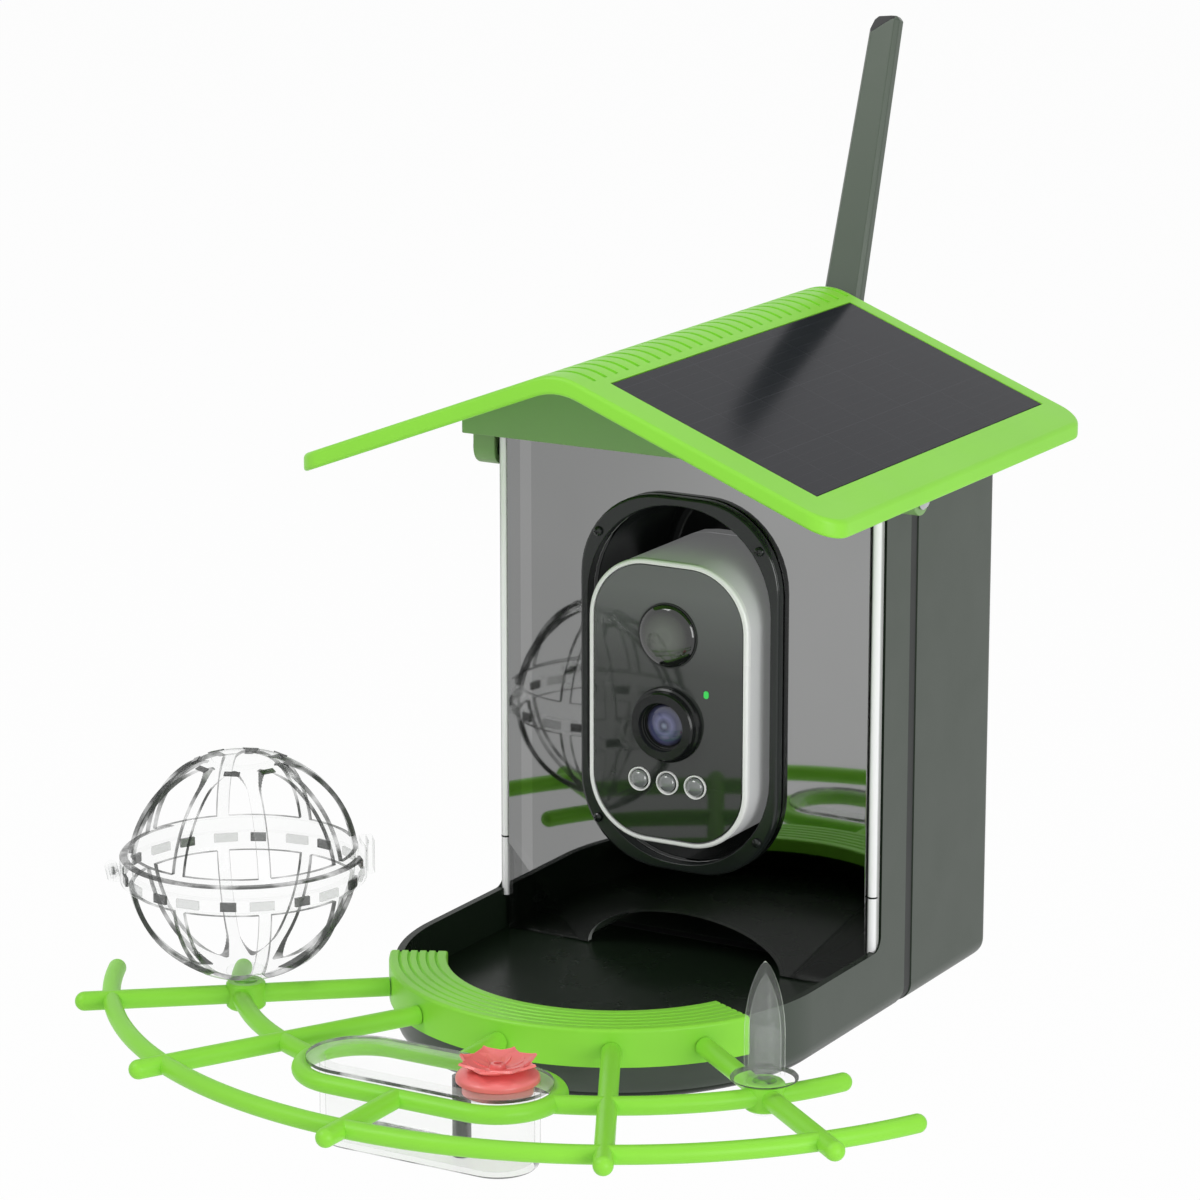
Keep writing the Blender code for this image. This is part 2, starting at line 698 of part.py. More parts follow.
def make_camera_bay():
    """A flange behind the panel and a tub with a closed back."""
    front = WINDOW_Y + WINDOW_THICKNESS + GAP
    back = BAY_BACK_Y + BAY_WALL
    tub = prism("camera_bay", mouth_outline(BAY_WALL), front, back, "Y")
    round_edges(tub, BAY_WALL, lambda co: near(co.y, back), 1)
    join(tub, prism("bay_flange", bay_outline(BAY_WALL / 2), front, front + BAY_FLANGE, "Y"))
    cut(tub, prism("bay_room", mouth_outline(), front - CUT, BAY_BACK_Y, "Y"))
    for x, z in COLLAR_SCREWS:
        bore = COLLAR_SCREW_SHANK + GAP
        cut(tub, cylinder("flange_bore", bore, (x, front - CUT, z), (x, front + BAY_FLANGE + CUT, z), 10))
    return tub


def make_collar_screw(number, x, z):
    seat = WINDOW_Y - GAP - COLLAR_THICKNESS - GAP
    tip = WINDOW_Y + WINDOW_THICKNESS + GAP + BAY_FLANGE
    return screw(f"collar_screw_{number}", COLLAR_SCREW_HEAD, COLLAR_SCREW_SHANK, (x, seat, z), (x, tip, z))


def make_camera_bracket():
    """A plate on the bay's back wall with two ears for the tilt pin."""
    back = BRACKET_Y + BRACKET_PLATE
    low = (-BRACKET_HALF, BRACKET_Y, CAMERA_Z - BRACKET_HALF)
    plate = box("camera_bracket", low, (BRACKET_HALF, back, CAMERA_Z + BRACKET_HALF))
    start = TONGUE_HALF + GAP
    round_end = arc((TILT_Y, CAMERA_Z), EYE_RADIUS, 90, 270, 6)
    middle = (BRACKET_Y + back) / 2
    ear = [(middle, CAMERA_Z + EYE_RADIUS), *round_end, (middle, CAMERA_Z - EYE_RADIUS)]
    for side in (-1, 1):
        low, high = sorted((side * start, side * (start + BRACKET_EAR)))
        join(plate, prism("bracket_ear", ear, low, high, "X"))
    reach = start + BRACKET_EAR + CUT
    place = (TILT_Y, CAMERA_Z)
    return cut(plate, cylinder("ear_bore", TILT_PIN_RADIUS + GAP, (-reach, *place), (reach, *place), 12))


def make_bracket_pin():
    """The tilt pin, with a flat head outside each ear."""
    reach = TONGUE_HALF + GAP + BRACKET_EAR + GAP
    place = (TILT_Y, CAMERA_Z)
    end = reach + BRACKET_PLATE / 2
    pin = cylinder("bracket_pin", TILT_PIN_RADIUS, (-end + GAP, *place), (end - GAP, *place), 12)
    for side in (-1, 1):
        start, stop = (side * reach, *place), (side * end, *place)
        join(pin, cylinder("pin_head", EYE_RADIUS * 2 / 3, start, stop, 12))
    return pin


# Landing ring and perch frame

RING_SKIRT_BOTTOM = 0.013
RING_LIP = 0.003
GROOVE_WIDTH = 0.0011
GROOVE_DEPTH = 0.0006
RING_STEPS = 22
RING_TOP = TRAY_RIM + GAP


def make_landing_ring():
    """A grooved cap over the tray's front rim, turned through its span with a skirt outside."""
    outer, skirt = RING_RADIUS, HALF_WIDTH + GAP
    inner = RING_RADIUS - RING_WIDTH
    under = RING_TOP - RING_THICKNESS
    profile = [(outer, RING_SKIRT_BOTTOM), (outer, RING_TOP - GROOVE_DEPTH)]
    profile.append((outer - GROOVE_DEPTH, RING_TOP))
    pitch = (RING_WIDTH - GROOVE_WIDTH) / (RING_GROOVES + 1)
    for number in range(1, RING_GROOVES + 1):
        middle = outer - number * pitch
        profile.append((middle + GROOVE_WIDTH / 2, RING_TOP))
        profile.append((middle, RING_TOP - GROOVE_DEPTH))
        profile.append((middle - GROOVE_WIDTH / 2, RING_TOP))
    profile += [(inner + GROOVE_DEPTH, RING_TOP), (inner, RING_TOP - GROOVE_DEPTH)]
    profile += [(inner, under - RING_LIP), (inner + RING_THICKNESS, under - RING_LIP)]
    profile += [(inner + RING_THICKNESS, under), (skirt, under), (skirt, RING_SKIRT_BOTTOM)]
    bm = bmesh.new()
    face = bm.faces.new([bm.verts.new((radius, 0, height)) for radius, height in profile])
    bmesh.ops.spin(
        bm, geom=[face, *face.edges, *face.verts], cent=(0, 0, 0), axis=(0, 0, 1), dvec=(0, 0, 0),
        angle=2 * RING_SPAN, steps=RING_STEPS, use_duplicate=False,
    )
    start = math.radians(-90) - RING_SPAN
    place = Matrix.Translation((0, TRAY_Y, 0)) @ Matrix.Rotation(start, 4, "Z")
    bmesh.ops.transform(bm, matrix=place, verts=bm.verts)
    ring = from_bmesh("landing_ring", bm)
    for angle in SPOKE_ANGLES:
        start = (*polar(skirt - CUT / 2, angle), PERCH_HEIGHT)
        end = (*polar(outer + CUT, angle), PERCH_HEIGHT)
        cut(ring, cylinder("skirt_bore", PEG_RADIUS + GAP, start, end, 12))
    return ring


TIP_SHARES = ((1, 0), (0.87, 0.5), (0.4, 0.92))
OUTER_ARC = RING_RADIUS + OUTER_ARC_REACH
INNER_ARC = RING_RADIUS + INNER_ARC_REACH
HOLDER_Y = TRAY_Y - HOLDER_REACH
HOLDER_ARC_STEPS = 8


def domed(points, radius):
    """Carries the last point on to a round tip; returns the new points and their radius shares."""
    ahead = (points[-1] - points[-2]).normalized()
    tail = points[-1] - ahead * radius
    tip = [tail + ahead * radius * distance for width, distance in TIP_SHARES]
    return points[:-1] + tip, [width for width, distance in TIP_SHARES]


def rod(name, places, radius=PERCH_RADIUS, both_ends=False):
    """A perch rod through these (x, y) places, with a domed tip on its free end or on both."""
    points, tip = domed([Vector((*place, PERCH_HEIGHT)) for place in places], radius)
    shares = [1] * (len(points) - len(tip)) + tip
    if both_ends:
        points, tip = domed(points[::-1], radius)
        shares = shares[::-1][:len(points) - len(tip)] + tip
    return tube(name, points, radius, ends=shares)


def arc_places(radius, start, end, steps):
    return [polar(radius, start + (end - start) * i / steps) for i in range(steps + 1)]


def inner_arc_end():
    """The angle at which the inner arc meets the middle of the oval holder's tube."""
    return math.asin((HOLDER_STRAIGHT / 2 + HOLDER_RADIUS) / INNER_ARC)


def make_perch_frame():
    """Two arcs, five spokes, the oval holder and the two sockets, fused into one frame."""
    holder_path = stadium(HOLDER_STRAIGHT, HOLDER_RADIUS, (0, HOLDER_Y), HOLDER_ARC_STEPS)
    holder = [Vector((x, y, PERCH_HEIGHT)) for x, y in holder_path]
    frame = tube("perch_frame", holder, HOLDER_TUBE_RADIUS, cyclic=True)
    join(frame, rod("outer_arc", arc_places(OUTER_ARC, -RING_SPAN, RING_SPAN, 22), both_ends=True))
    for side in (-1, 1):
        places = arc_places(INNER_ARC, side * inner_arc_end(), side * RING_SPAN, 6)
        join(frame, rod("inner_arc", places))
    root = RING_RADIUS + GAP
    end = RING_RADIUS + SPOKE_REACH
    for angle in SPOKE_ANGLES:
        if angle:
            join(frame, rod("spoke", [polar(root, angle), polar(end, angle)], SPOKE_RADIUS))
        peg_end = (*polar(HALF_WIDTH - WALL + GAP, angle), PERCH_HEIGHT)
        peg_start = (*polar(root + PERCH_RADIUS, angle), PERCH_HEIGHT)
        join(frame, cylinder("peg", PEG_RADIUS, peg_start, peg_end, 12))
    back = HOLDER_Y + HOLDER_RADIUS
    bridge_start = (*polar(root, 0), PERCH_HEIGHT)
    join(frame, cylinder("bridge", SPOKE_RADIUS, bridge_start, (0, back, PERCH_HEIGHT), 10))
    front = [Vector((0, HOLDER_Y - HOLDER_RADIUS)), polar(end, 0)]
    join(frame, rod("front_spoke", front, SPOKE_RADIUS))
    low, high = PERCH_HEIGHT - SOCKET_LENGTH / 2, PERCH_HEIGHT + SOCKET_LENGTH / 2
    for side in (-1, 1):
        place = polar(RING_RADIUS + SOCKET_REACH, side * SOCKET_ANGLE)
        join(frame, cylinder("socket", SOCKET_RADIUS, (*place, low), (*place, high), 20))
        cut(frame, cylinder("stem_bore", STEM_RADIUS + GAP, (*place, low - CUT), (*place, high + CUT), 16))
    return frame


# Roof

RIDGE_ROUND_WIDTH = 0.016
ROOF_CORNER_ROUND = 0.010
ROOF_EDGE_ROUND = 0.0014
ROOF_RIM = 0.0035
SOLAR_MARGIN = 0.0137
GROOVE_HALF_WIDTH = 0.0095
RIDGE_GROOVE_WIDTH = 0.0018
RIDGE_GROOVE_DEPTH = 0.0008
GROOVE_END_MARGIN = 0.0008
ROOF_REAR = ROOF_REAR_OVERHANG
SKIN_DROP = ROOF_SKIN / math.cos(ROOF_SLOPE)
ROOF_SCREW_HEAD = 0.0026
ROOF_SCREW_SHANK = 0.0013
ROOF_SCREW_BITE = 0.0009
ROOF_BOSS_RADIUS = 0.0034


def slope_height(x, drop=0):
    """The roof's top face at this x, or a parallel face this far below it; the ridge is rounded."""
    flat = RIDGE_ROUND_WIDTH / 2
    fall = math.tan(ROOF_SLOPE)
    x = abs(x)
    if x >= flat:
        return ROOF_APEX - drop - x * fall
    return ROOF_APEX - drop - (x * x + flat * flat) / (2 * flat) * fall


def roof_line(half, drop, steps=4):
    """Points from the left eave over the ridge to the right eave."""
    flat = RIDGE_ROUND_WIDTH / 2
    middle = [-flat + 2 * flat * i / steps for i in range(steps + 1)]
    return [(x, slope_height(x, drop)) for x in (-half, *middle, half)]


def make_roof_shell():
    """A ridged lid with rounded corners, a rim, a hollow underside and the solar panel's recess."""
    deep = ROOF_APEX - UNDERSIDE_APEX
    outline = roof_line(ROOF_HALF, 0) + list(reversed(roof_line(ROOF_HALF, deep)))
    roof = prism("roof_shell", outline, ROOF_FRONT, ROOF_REAR, "Y")
    length = ROOF_REAR - ROOF_FRONT
    middle = (ROOF_FRONT + ROOF_REAR) / 2
    plan = rounded_rectangle(2 * ROOF_HALF, length, ROOF_CORNER_ROUND, (0, middle), 4)
    top = ROOF_APEX + CUT
    combine(roof, prism("roof_plan", plan, SKIRT_BOTTOM - CUT, top), "INTERSECT")
    bake(roof)
    low = slope_height(ROOF_HALF)
    round_sharp(roof, ROOF_EDGE_ROUND, lambda co: co.z > low - GAP and on_top(co))
    inner = ROOF_HALF - ROOF_RIM
    below = [(inner, SKIRT_BOTTOM - CUT), (-inner, SKIRT_BOTTOM - CUT)]
    front, rear = ROOF_FRONT + ROOF_RIM, ROOF_REAR - ROOF_RIM
    room = prism("roof_room", roof_line(inner, SKIN_DROP) + below, front, rear, "Y")
    for x, y in ROOF_SCREWS:
        low, high = (x, y, SKIRT_BOTTOM), (x, y, slope_height(x, SKIN_DROP) + ROOF_SCREW_BITE + GAP)
        join(room, cylinder("roof_pilot", ROOF_SCREW_SHANK + GAP, low, high, 10))
    first = ROOF_FRONT + GROOVE_END_MARGIN + RIDGE_GROOVE_WIDTH / 2
    last = ROOF_REAR - ROOF_EDGE_ROUND - RIDGE_GROOVE_WIDTH * 2
    pitch = (last - first) / (GROOVE_COUNT - 1)
    top_line = roof_line(GROOVE_HALF_WIDTH, RIDGE_GROOVE_DEPTH, 2)
    groove = top_line + [(GROOVE_HALF_WIDTH, top), (-GROOVE_HALF_WIDTH, top)]
    for number in range(1, GROOVE_COUNT):
        start = first + number * pitch
        cut(roof, prism("ridge_groove", groove, start, start + RIDGE_GROOVE_WIDTH, "Y"))
    recess = solar_block("solar_recess", GAP, SOLAR_THICKNESS + GAP, CUT)
    cut(roof, recess)
    return cut(roof, room)


ROOF_SCREW_MARGIN = 0.012
SCREW_X = SKIRT_HALF - SKIRT_WALL - ROOF_BOSS_RADIUS + 2 * GAP
ROOF_SCREWS = [
    (x, y) for y in (-REAR_DEPTH, -ROOF_SCREW_MARGIN) for x in (-SCREW_X, SCREW_X)
]


def on_top(co):
    return co.z > slope_height(co.x) - GAP


def bake(piece):
    """Applies the Booleans so far, so that what follows works on the finished edges."""
    bpy.context.view_layer.update()
    graph = bpy.context.evaluated_depsgraph_get()
    mesh = bpy.data.meshes.new_from_object(piece.evaluated_get(graph))
    piece.modifiers.clear()
    piece.data = mesh
    return piece


def round_sharp(piece, width, chosen, segments=2):
    """Bevels the sharp edges among those whose ends pass the test."""
    bm = bmesh.new()
    bm.from_mesh(piece.data)
    bmesh.ops.remove_doubles(bm, verts=bm.verts, dist=1e-6)
    bmesh.ops.dissolve_limit(bm, angle_limit=math.radians(1), verts=bm.verts, edges=bm.edges)
    edges = [
        edge for edge in bm.edges
        if len(edge.link_faces) == 2 and edge.calc_face_angle() > SMOOTH_BELOW
        and all(chosen(vert.co) for vert in edge.verts)
    ]
    bmesh.ops.bevel(
        bm, geom=edges, offset=width, segments=segments, profile=0.5, affect="EDGES",
        offset_type="OFFSET", clamp_overlap=True,
    )
    bm.to_mesh(piece.data)
    bm.free()
    return piece


def solar_block(name, grow, depth, rise):
    """A block let into the right slope, its middle placed by the ridge margin and the roof's length."""
    across = SOLAR_MARGIN + SOLAR_WIDTH / 2
    middle = (ROOF_FRONT + ROOF_REAR) / 2 + (ROOF_REAR_OVERHANG - SOLAR_MARGIN + RIDGE_GROOVE_WIDTH) / 2
    half_width = SOLAR_WIDTH / 2 + grow
    half_length = SOLAR_LENGTH / 2 + grow
    block = box(name, (-half_width, -half_length, -depth), (half_width, half_length, rise))
    x = across * math.cos(ROOF_SLOPE)
    place = Matrix.Translation((x, middle, ROOF_APEX - x * math.tan(ROOF_SLOPE)))
    block.data.transform(place @ Matrix.Rotation(ROOF_SLOPE, 4, "Y"))
    return block


def make_solar_panel():
    panel = solar_block("solar_panel", 0, SOLAR_THICKNESS, -GAP / 3)
    return panel


def make_gable_skirt():
    """The frame under the lid: gable walls, side walls, two ears and four screw bosses."""
    outer_front = WINDOW_Y - SKIRT_FRONT_GAP - SKIRT_WALL
    outer_back = SKIRT_REAR_GAP + SKIRT_WALL
    drop = SKIN_DROP + GAP
    outline = roof_line(SKIRT_HALF, drop) + [(SKIRT_HALF, SKIRT_BOTTOM), (-SKIRT_HALF, SKIRT_BOTTOM)]
    skirt = prism("gable_skirt", outline, outer_front, outer_back, "Y")
    inner = SKIRT_HALF - SKIRT_WALL
    low = (-inner, outer_front + SKIRT_WALL, SKIRT_BOTTOM - CUT)
    cut(skirt, box("skirt_room", low, (inner, outer_back - SKIRT_WALL, ROOF_APEX + CUT)))
    top = SKIRT_BOTTOM + SKIRT_SIDE_HEIGHT
    ear_bottom = arc((HINGE_Y, HINGE_Z), EAR_RADIUS, 180, 360, 8)
    ear = [(HINGE_Y - EAR_RADIUS, top), *ear_bottom, (HINGE_Y + EAR_RADIUS, top)]
    for side in (-1, 1):
        low, high = sorted((side * (SKIRT_HALF - EAR_WIDTH), side * (SKIRT_HALF - GAP)))
        join(skirt, prism("ear", ear, low, high, "X"))
        start = side * (SKIRT_HALF - EAR_WIDTH - CUT)
        end = side * (SKIRT_HALF + CUT)
        place = (HINGE_Y, HINGE_Z)
        cut(skirt, cylinder("ear_bore", HINGE_PIN_RADIUS + GAP, (start, *place), (end, *place), 16))
    for x, y in ROOF_SCREWS:
        high = slope_height(abs(x) + ROOF_BOSS_RADIUS, drop) - GAP
        join(skirt, cylinder("roof_boss", ROOF_BOSS_RADIUS, (x, y, SKIRT_BOTTOM), (x, y, high), 12))
        ends = [(x, y, z) for z in (SKIRT_BOTTOM - CUT, high + CUT)]
        cut(skirt, cylinder("boss_bore", ROOF_SCREW_SHANK + GAP, *ends, 10))
    return skirt


def make_roof_screw(number, x, y):
    tip = slope_height(x, SKIN_DROP) + ROOF_SCREW_BITE
    return screw(
        f"roof_screw_{number}", ROOF_SCREW_HEAD, ROOF_SCREW_SHANK, (x, y, SKIRT_BOTTOM - GAP), (x, y, tip)
    )


def make_roof_pin(name, side):
    """The axle of one ear: a domed head outside and a plain end inside the wall."""
    seat = side * (SKIRT_HALF + GAP)
    tip = side * (HALF_WIDTH - WALL)
    ends = [(x, HINGE_Y, HINGE_Z) for x in (seat, tip)]
    return screw(name, EAR_RADIUS * 2 / 3, HINGE_PIN_RADIUS, *ends, 16)


# Camera

SHELL_WALL = 0.003
SHELL_LIP = 0.0016
FACE_THICKNESS = 0.0025
FACE_RECESS = 0.0004
CAMERA_BACK_THICKNESS = 0.006
CAMERA_BACK_ROUND = 0.0045
PIR_RADIUS = 0.01075
PIR_BULGE = 0.003
PIR_RISE = 0.0238
LENS_DROP = 0.0070
LENS_RADIUS = 0.013
LENS_PROUD = 0.005
LENS_BARREL_RADIUS = 0.008
LENS_GLASS_RADIUS = 0.0072
LED_RADIUS = 0.0012
LED_ACROSS = 0.0148
LED_RISE = 0.0052
IR_RADIUS = 0.00415
IR_SPACING = 0.01075
IR_DROP = 0.0275
PEG_SHARE = 0.6
PLUG_RADIUS = 0.009
BOARD_WIDTH = 0.046
BOARD_HEIGHT = 0.078
BOARD_THICKNESS = 0.0016
BOARD_POST_LENGTH = 0.008
BOARD_POST_RADIUS = 0.002
CELL_RADIUS = 0.0092
CELL_LENGTH = 0.065
CELL_NUB_RADIUS = 0.003
CELL_NUB = 0.0012
BUTTON_RADIUS = 0.004
BUTTON_THICKNESS = 0.0028
BUTTON_TRAVEL = 0.001
BUTTON_PROUD = 0.0012
BUTTON_RISE = 0.030
PORT_WIDTH = 0.016
PORT_HEIGHT = 0.008
PORT_DEPTH = 0.002
PORT_DROP = 0.030
FACE_FRONT = CAMERA_Y + FACE_RECESS
FACE_BACK = FACE_FRONT + FACE_THICKNESS
BACK_Y = CAMERA_Y + CAMERA_DEPTH
BACK_FRONT = BACK_Y - CAMERA_BACK_THICKNESS
BOARD_Y = FACE_BACK + BOARD_POST_LENGTH + GAP
BOARD_POSTS = [
    (x * (BOARD_WIDTH / 2 - BOARD_POST_RADIUS), CAMERA_Z + z * (BOARD_HEIGHT / 2 - BOARD_POST_RADIUS))
    for z in (-1, 1) for x in (-1, 1)
]
IR_PLACES = [(x * IR_SPACING, CAMERA_Z - IR_DROP) for x in (-1, 0, 1)]


def camera_outline(inset=0):
    return rounded_rectangle(
        CAMERA_WIDTH - 2 * inset, CAMERA_HEIGHT - 2 * inset, CAMERA_ROUND - inset, (0, CAMERA_Z)
    )


def make_camera_shell():
    front, back = CAMERA_Y, BACK_FRONT - GAP
    shell = prism("camera_shell", camera_outline(), front, back, "Y")
    round_edges(shell, SHELL_LIP / 2, lambda co: near(co.y, front))
    ledge = FACE_BACK + GAP
    cut(shell, prism("face_seat", camera_outline(SHELL_LIP), front - CUT, ledge, "Y"))
    return cut(shell, prism("camera_room", camera_outline(SHELL_WALL), front - CUT, back + CUT, "Y"))


def face_bore(name, radius, x, z, sides=16):
    return cylinder(name, radius + GAP, (x, FACE_FRONT - CUT, z), (x, FACE_BACK + CUT, z), sides)


def make_camera_face():
    """The dark front plate with holes for all that shows in it, and posts for the board."""
    face = prism("camera_face", camera_outline(SHELL_LIP + GAP), FACE_FRONT, FACE_BACK, "Y")
    for x, z in BOARD_POSTS:
        start, end = (x, FACE_BACK - FACE_THICKNESS / 2, z), (x, BOARD_Y - GAP, z)
        join(face, cylinder("post", BOARD_POST_RADIUS, start, end, 8))
    cut(
        face,
        face_bore("pir_bore", PLUG_RADIUS, 0, CAMERA_Z + PIR_RISE),
        face_bore("lens_bore", LENS_BARREL_RADIUS, 0, CAMERA_Z - LENS_DROP),
        face_bore("led_bore", LED_RADIUS, LED_ACROSS, CAMERA_Z + LED_RISE, 8),
    )
    for x, z in IR_PLACES:
        cut(face, face_bore("ir_bore", IR_RADIUS * PEG_SHARE, x, z, 12))
    return face


def dome(radius, foot, rise, steps):
    """Profile points of a shallow cap, from its rim to its crown."""
    turns = [math.radians(90) * i / steps for i in range(steps + 1)]
    points = [(radius * math.cos(t), foot + rise * math.sin(t)) for t in turns]
    points[-1] = (0, foot + rise)
    return points


def plug(name, radius, bulge, plug_radius, x, z, steps=16):
    """A cap in front of the face on a plug that fills its hole."""
    front = GAP
    cap = list(reversed(dome(radius, front + bulge / 4, bulge * 3 / 4, 4)))
    depth = -FACE_THICKNESS + GAP
    profile = [*cap, (radius, front), (plug_radius, front), (plug_radius, depth), (0, depth)]
    return turned(name, profile, (x, FACE_FRONT, z), "-Y", steps)


def make_lens_barrel():
    """A stepped ring round the glass, on a barrel that reaches back to the board."""
    proud = GAP + LENS_PROUD
    ring = LENS_RADIUS
    step = LENS_PROUD / 3
    well = LENS_GLASS_RADIUS + GAP
    depth = FACE_FRONT - BOARD_Y + GAP
    profile = [
        (well + step, proud), (ring - step, proud - step / 2), (ring - step / 2, GAP + step),
        (ring, GAP + step / 2), (ring, GAP), (LENS_BARREL_RADIUS, GAP), (LENS_BARREL_RADIUS, depth),
        (0, depth), (0, GAP + step), (well, GAP + step), (well, proud - step / 2),
    ]
    return turned("lens_barrel", profile, (0, FACE_FRONT, CAMERA_Z - LENS_DROP), "-Y", 24)


def make_lens_glass():
    foot = 2 * GAP + LENS_PROUD / 3
    cap = list(reversed(dome(LENS_GLASS_RADIUS, foot + LENS_PROUD / 6, LENS_PROUD / 4, 3)))
    profile = [*cap, (LENS_GLASS_RADIUS, foot), (0, foot)]
    return turned("lens_glass", profile, (0, FACE_FRONT, CAMERA_Z - LENS_DROP), "-Y", 16)


def make_camera_board():
    half_width, half_height = BOARD_WIDTH / 2, BOARD_HEIGHT / 2
    low = (-half_width, BOARD_Y, CAMERA_Z - half_height)
    return box("camera_board", low, (half_width, BOARD_Y + BOARD_THICKNESS, CAMERA_Z + half_height))


def make_battery_cell(number, side):
    foot = (side * (CELL_RADIUS + GAP), BACK_FRONT - GAP - CELL_RADIUS, CAMERA_Z - CELL_LENGTH / 2)
    top = CELL_LENGTH
    profile = [(0, top), (CELL_NUB_RADIUS, top), (CELL_NUB_RADIUS, top - CELL_NUB)]
    profile += [(CELL_RADIUS - CELL_NUB / 2, top - CELL_NUB), (CELL_RADIUS, top - CELL_NUB * 3 / 2)]
    profile += [(CELL_RADIUS, CELL_NUB / 2), (CELL_RADIUS - CELL_NUB / 2, 0), (0, 0)]
    return turned(f"battery_cell_{number}", profile, foot, "Z", 12)


def make_camera_back():
    """The rear cover with the tongue that the tilt pin passes through."""
    back = prism("camera_back", camera_outline(), BACK_FRONT, BACK_Y, "Y")
    round_edges(back, CAMERA_BACK_ROUND, lambda co: near(co.y, BACK_Y))
    root = BACK_Y - CAMERA_BACK_THICKNESS / 2
    round_end = arc((TILT_Y, CAMERA_Z), EYE_RADIUS, -90, 90, 6)
    tongue = [(root, CAMERA_Z - EYE_RADIUS), *round_end, (root, CAMERA_Z + EYE_RADIUS)]
    join(back, prism("tongue", tongue, -TONGUE_HALF, TONGUE_HALF, "X"))
    reach = TONGUE_HALF + CUT
    start, end = (-reach, TILT_Y, CAMERA_Z), (reach, TILT_Y, CAMERA_Z)
    cut(back, cylinder("tongue_bore", TILT_PIN_RADIUS + GAP, start, end, 12))
    z = CAMERA_Z + BUTTON_RISE
    well = BACK_Y + BUTTON_PROUD - BUTTON_THICKNESS - BUTTON_TRAVEL - 2 * GAP
    cut(back, cylinder("button_well", BUTTON_RADIUS + GAP, (0, well, z), (0, BACK_Y + CUT, z)))
    half_width, half_height = PORT_WIDTH / 2 + GAP, PORT_HEIGHT / 2 + GAP
    z = CAMERA_Z - PORT_DROP
    low = (-half_width, BACK_Y - PORT_DEPTH - GAP, z - half_height)
    return cut(back, box("port_seat", low, (half_width, BACK_Y + CUT, z + half_height)))


def make_power_button():
    z = CAMERA_Z + BUTTON_RISE
    high = BACK_Y + BUTTON_PROUD
    button = cylinder("power_button", BUTTON_RADIUS, (0, high - BUTTON_THICKNESS, z), (0, high, z))
    return round_edges(button, BUTTON_PROUD / 3, lambda co: near(co.y, high), 1)


def make_port_cover():
    z = CAMERA_Z - PORT_DROP
    high = BACK_Y + GAP
    outline = rounded_rectangle(PORT_WIDTH, PORT_HEIGHT, PORT_HEIGHT / 4, (0, z), 4)
    return prism("port_cover", outline, BACK_Y - PORT_DEPTH, high, "Y")


# Antenna

KNUCKLE_RADIUS = 0.0055
KNUCKLE_LENGTH = 0.0125
KNUCKLE_START = 0.0032
EYE_HALF = 0.0022
ANTENNA_PIN_RADIUS = 0.0013
ANTENNA_TIP_SLANT = 0.006
TONGUE_LENGTH = 0.009


def make_antenna_connector():
    """The threaded barrel in the rear wall: a nut inside, a collar outside."""
    inside = -WALL - GAP
    nut = inside - WALL
    outside = KNUCKLE_START - GAP
    profile = [
        (0, outside), (KNUCKLE_RADIUS, outside), (KNUCKLE_RADIUS, GAP), (CONNECTOR_RADIUS, GAP),
        (CONNECTOR_RADIUS, inside), (KNUCKLE_RADIUS, inside), (KNUCKLE_RADIUS, nut), (0, nut),
    ]
    return turned("antenna_connector", profile, (0, 0, ANTENNA_HEIGHT), "Y", 16)


def make_antenna_knuckle():
    """A round fork that turns on the connector, slotted for the blade's eye."""
    start = (0, KNUCKLE_START, ANTENNA_HEIGHT)
    end = (0, KNUCKLE_START + KNUCKLE_LENGTH, ANTENNA_HEIGHT)
    knuckle = cylinder("antenna_knuckle", KNUCKLE_RADIUS, start, end, 20)
    round_edges(knuckle, KNUCKLE_RADIUS / 6, lambda co: near(co.y, end[1]))
    slot = EYE_HALF + GAP
    floor = KNUCKLE_START + WALL / 2
    low = (-slot, floor, ANTENNA_HEIGHT - KNUCKLE_RADIUS - CUT)
    cut(knuckle, box("slot", low, (slot, end[1] + CUT, ANTENNA_HEIGHT + KNUCKLE_RADIUS + CUT)))
    reach = KNUCKLE_RADIUS + CUT
    place = (ANTENNA_SETBACK, ANTENNA_HEIGHT)
    ends = [(x, *place) for x in (-reach, reach)]
    return cut(knuckle, cylinder("pin_bore", ANTENNA_PIN_RADIUS + GAP, *ends, 10))


def make_antenna_pin():
    reach = KNUCKLE_RADIUS - GAP
    place = (ANTENNA_SETBACK, ANTENNA_HEIGHT)
    return cylinder("antenna_pin", ANTENNA_PIN_RADIUS, (-reach, *place), (reach, *place), 10)


def make_antenna_blade():
    """A flat tapering blade with chamfered edges and a slanted tip, leaning back from its eye."""
    root, tip = ANTENNA_ROOT_WIDTH / 2, ANTENNA_TIP_WIDTH / 2
    low = TONGUE_LENGTH
    high = ANTENNA_LENGTH
    outline = [(-root, low), (root, low), (root, low + root), (tip, high)]
    outline += [(-tip, high - ANTENNA_TIP_SLANT), (-root, low + root)]
    half = ANTENNA_THICKNESS / 2
    blade = prism("antenna_blade", outline, -half, half, "Y")
    round_edges(blade, half / 2, lambda co: near(abs(co.y), half), 1)
    start, end = (-EYE_HALF, 0, 0), (EYE_HALF, 0, 0)
    join(blade, cylinder("eye", half, start, end))
    join(blade, box("neck", (-EYE_HALF, -half + GAP, 0), (EYE_HALF, half - GAP, low + half)))
    reach = EYE_HALF + CUT
    cut(blade, cylinder("eye_bore", ANTENNA_PIN_RADIUS + GAP, (-reach, 0, 0), (reach, 0, 0), 10))
    bake(blade)
    place = Matrix.Translation((0, ANTENNA_SETBACK, ANTENNA_HEIGHT))
    blade.data.transform(place @ Matrix.Rotation(-ANTENNA_LEAN, 4, "X"))
    return blade


# Fruit cage

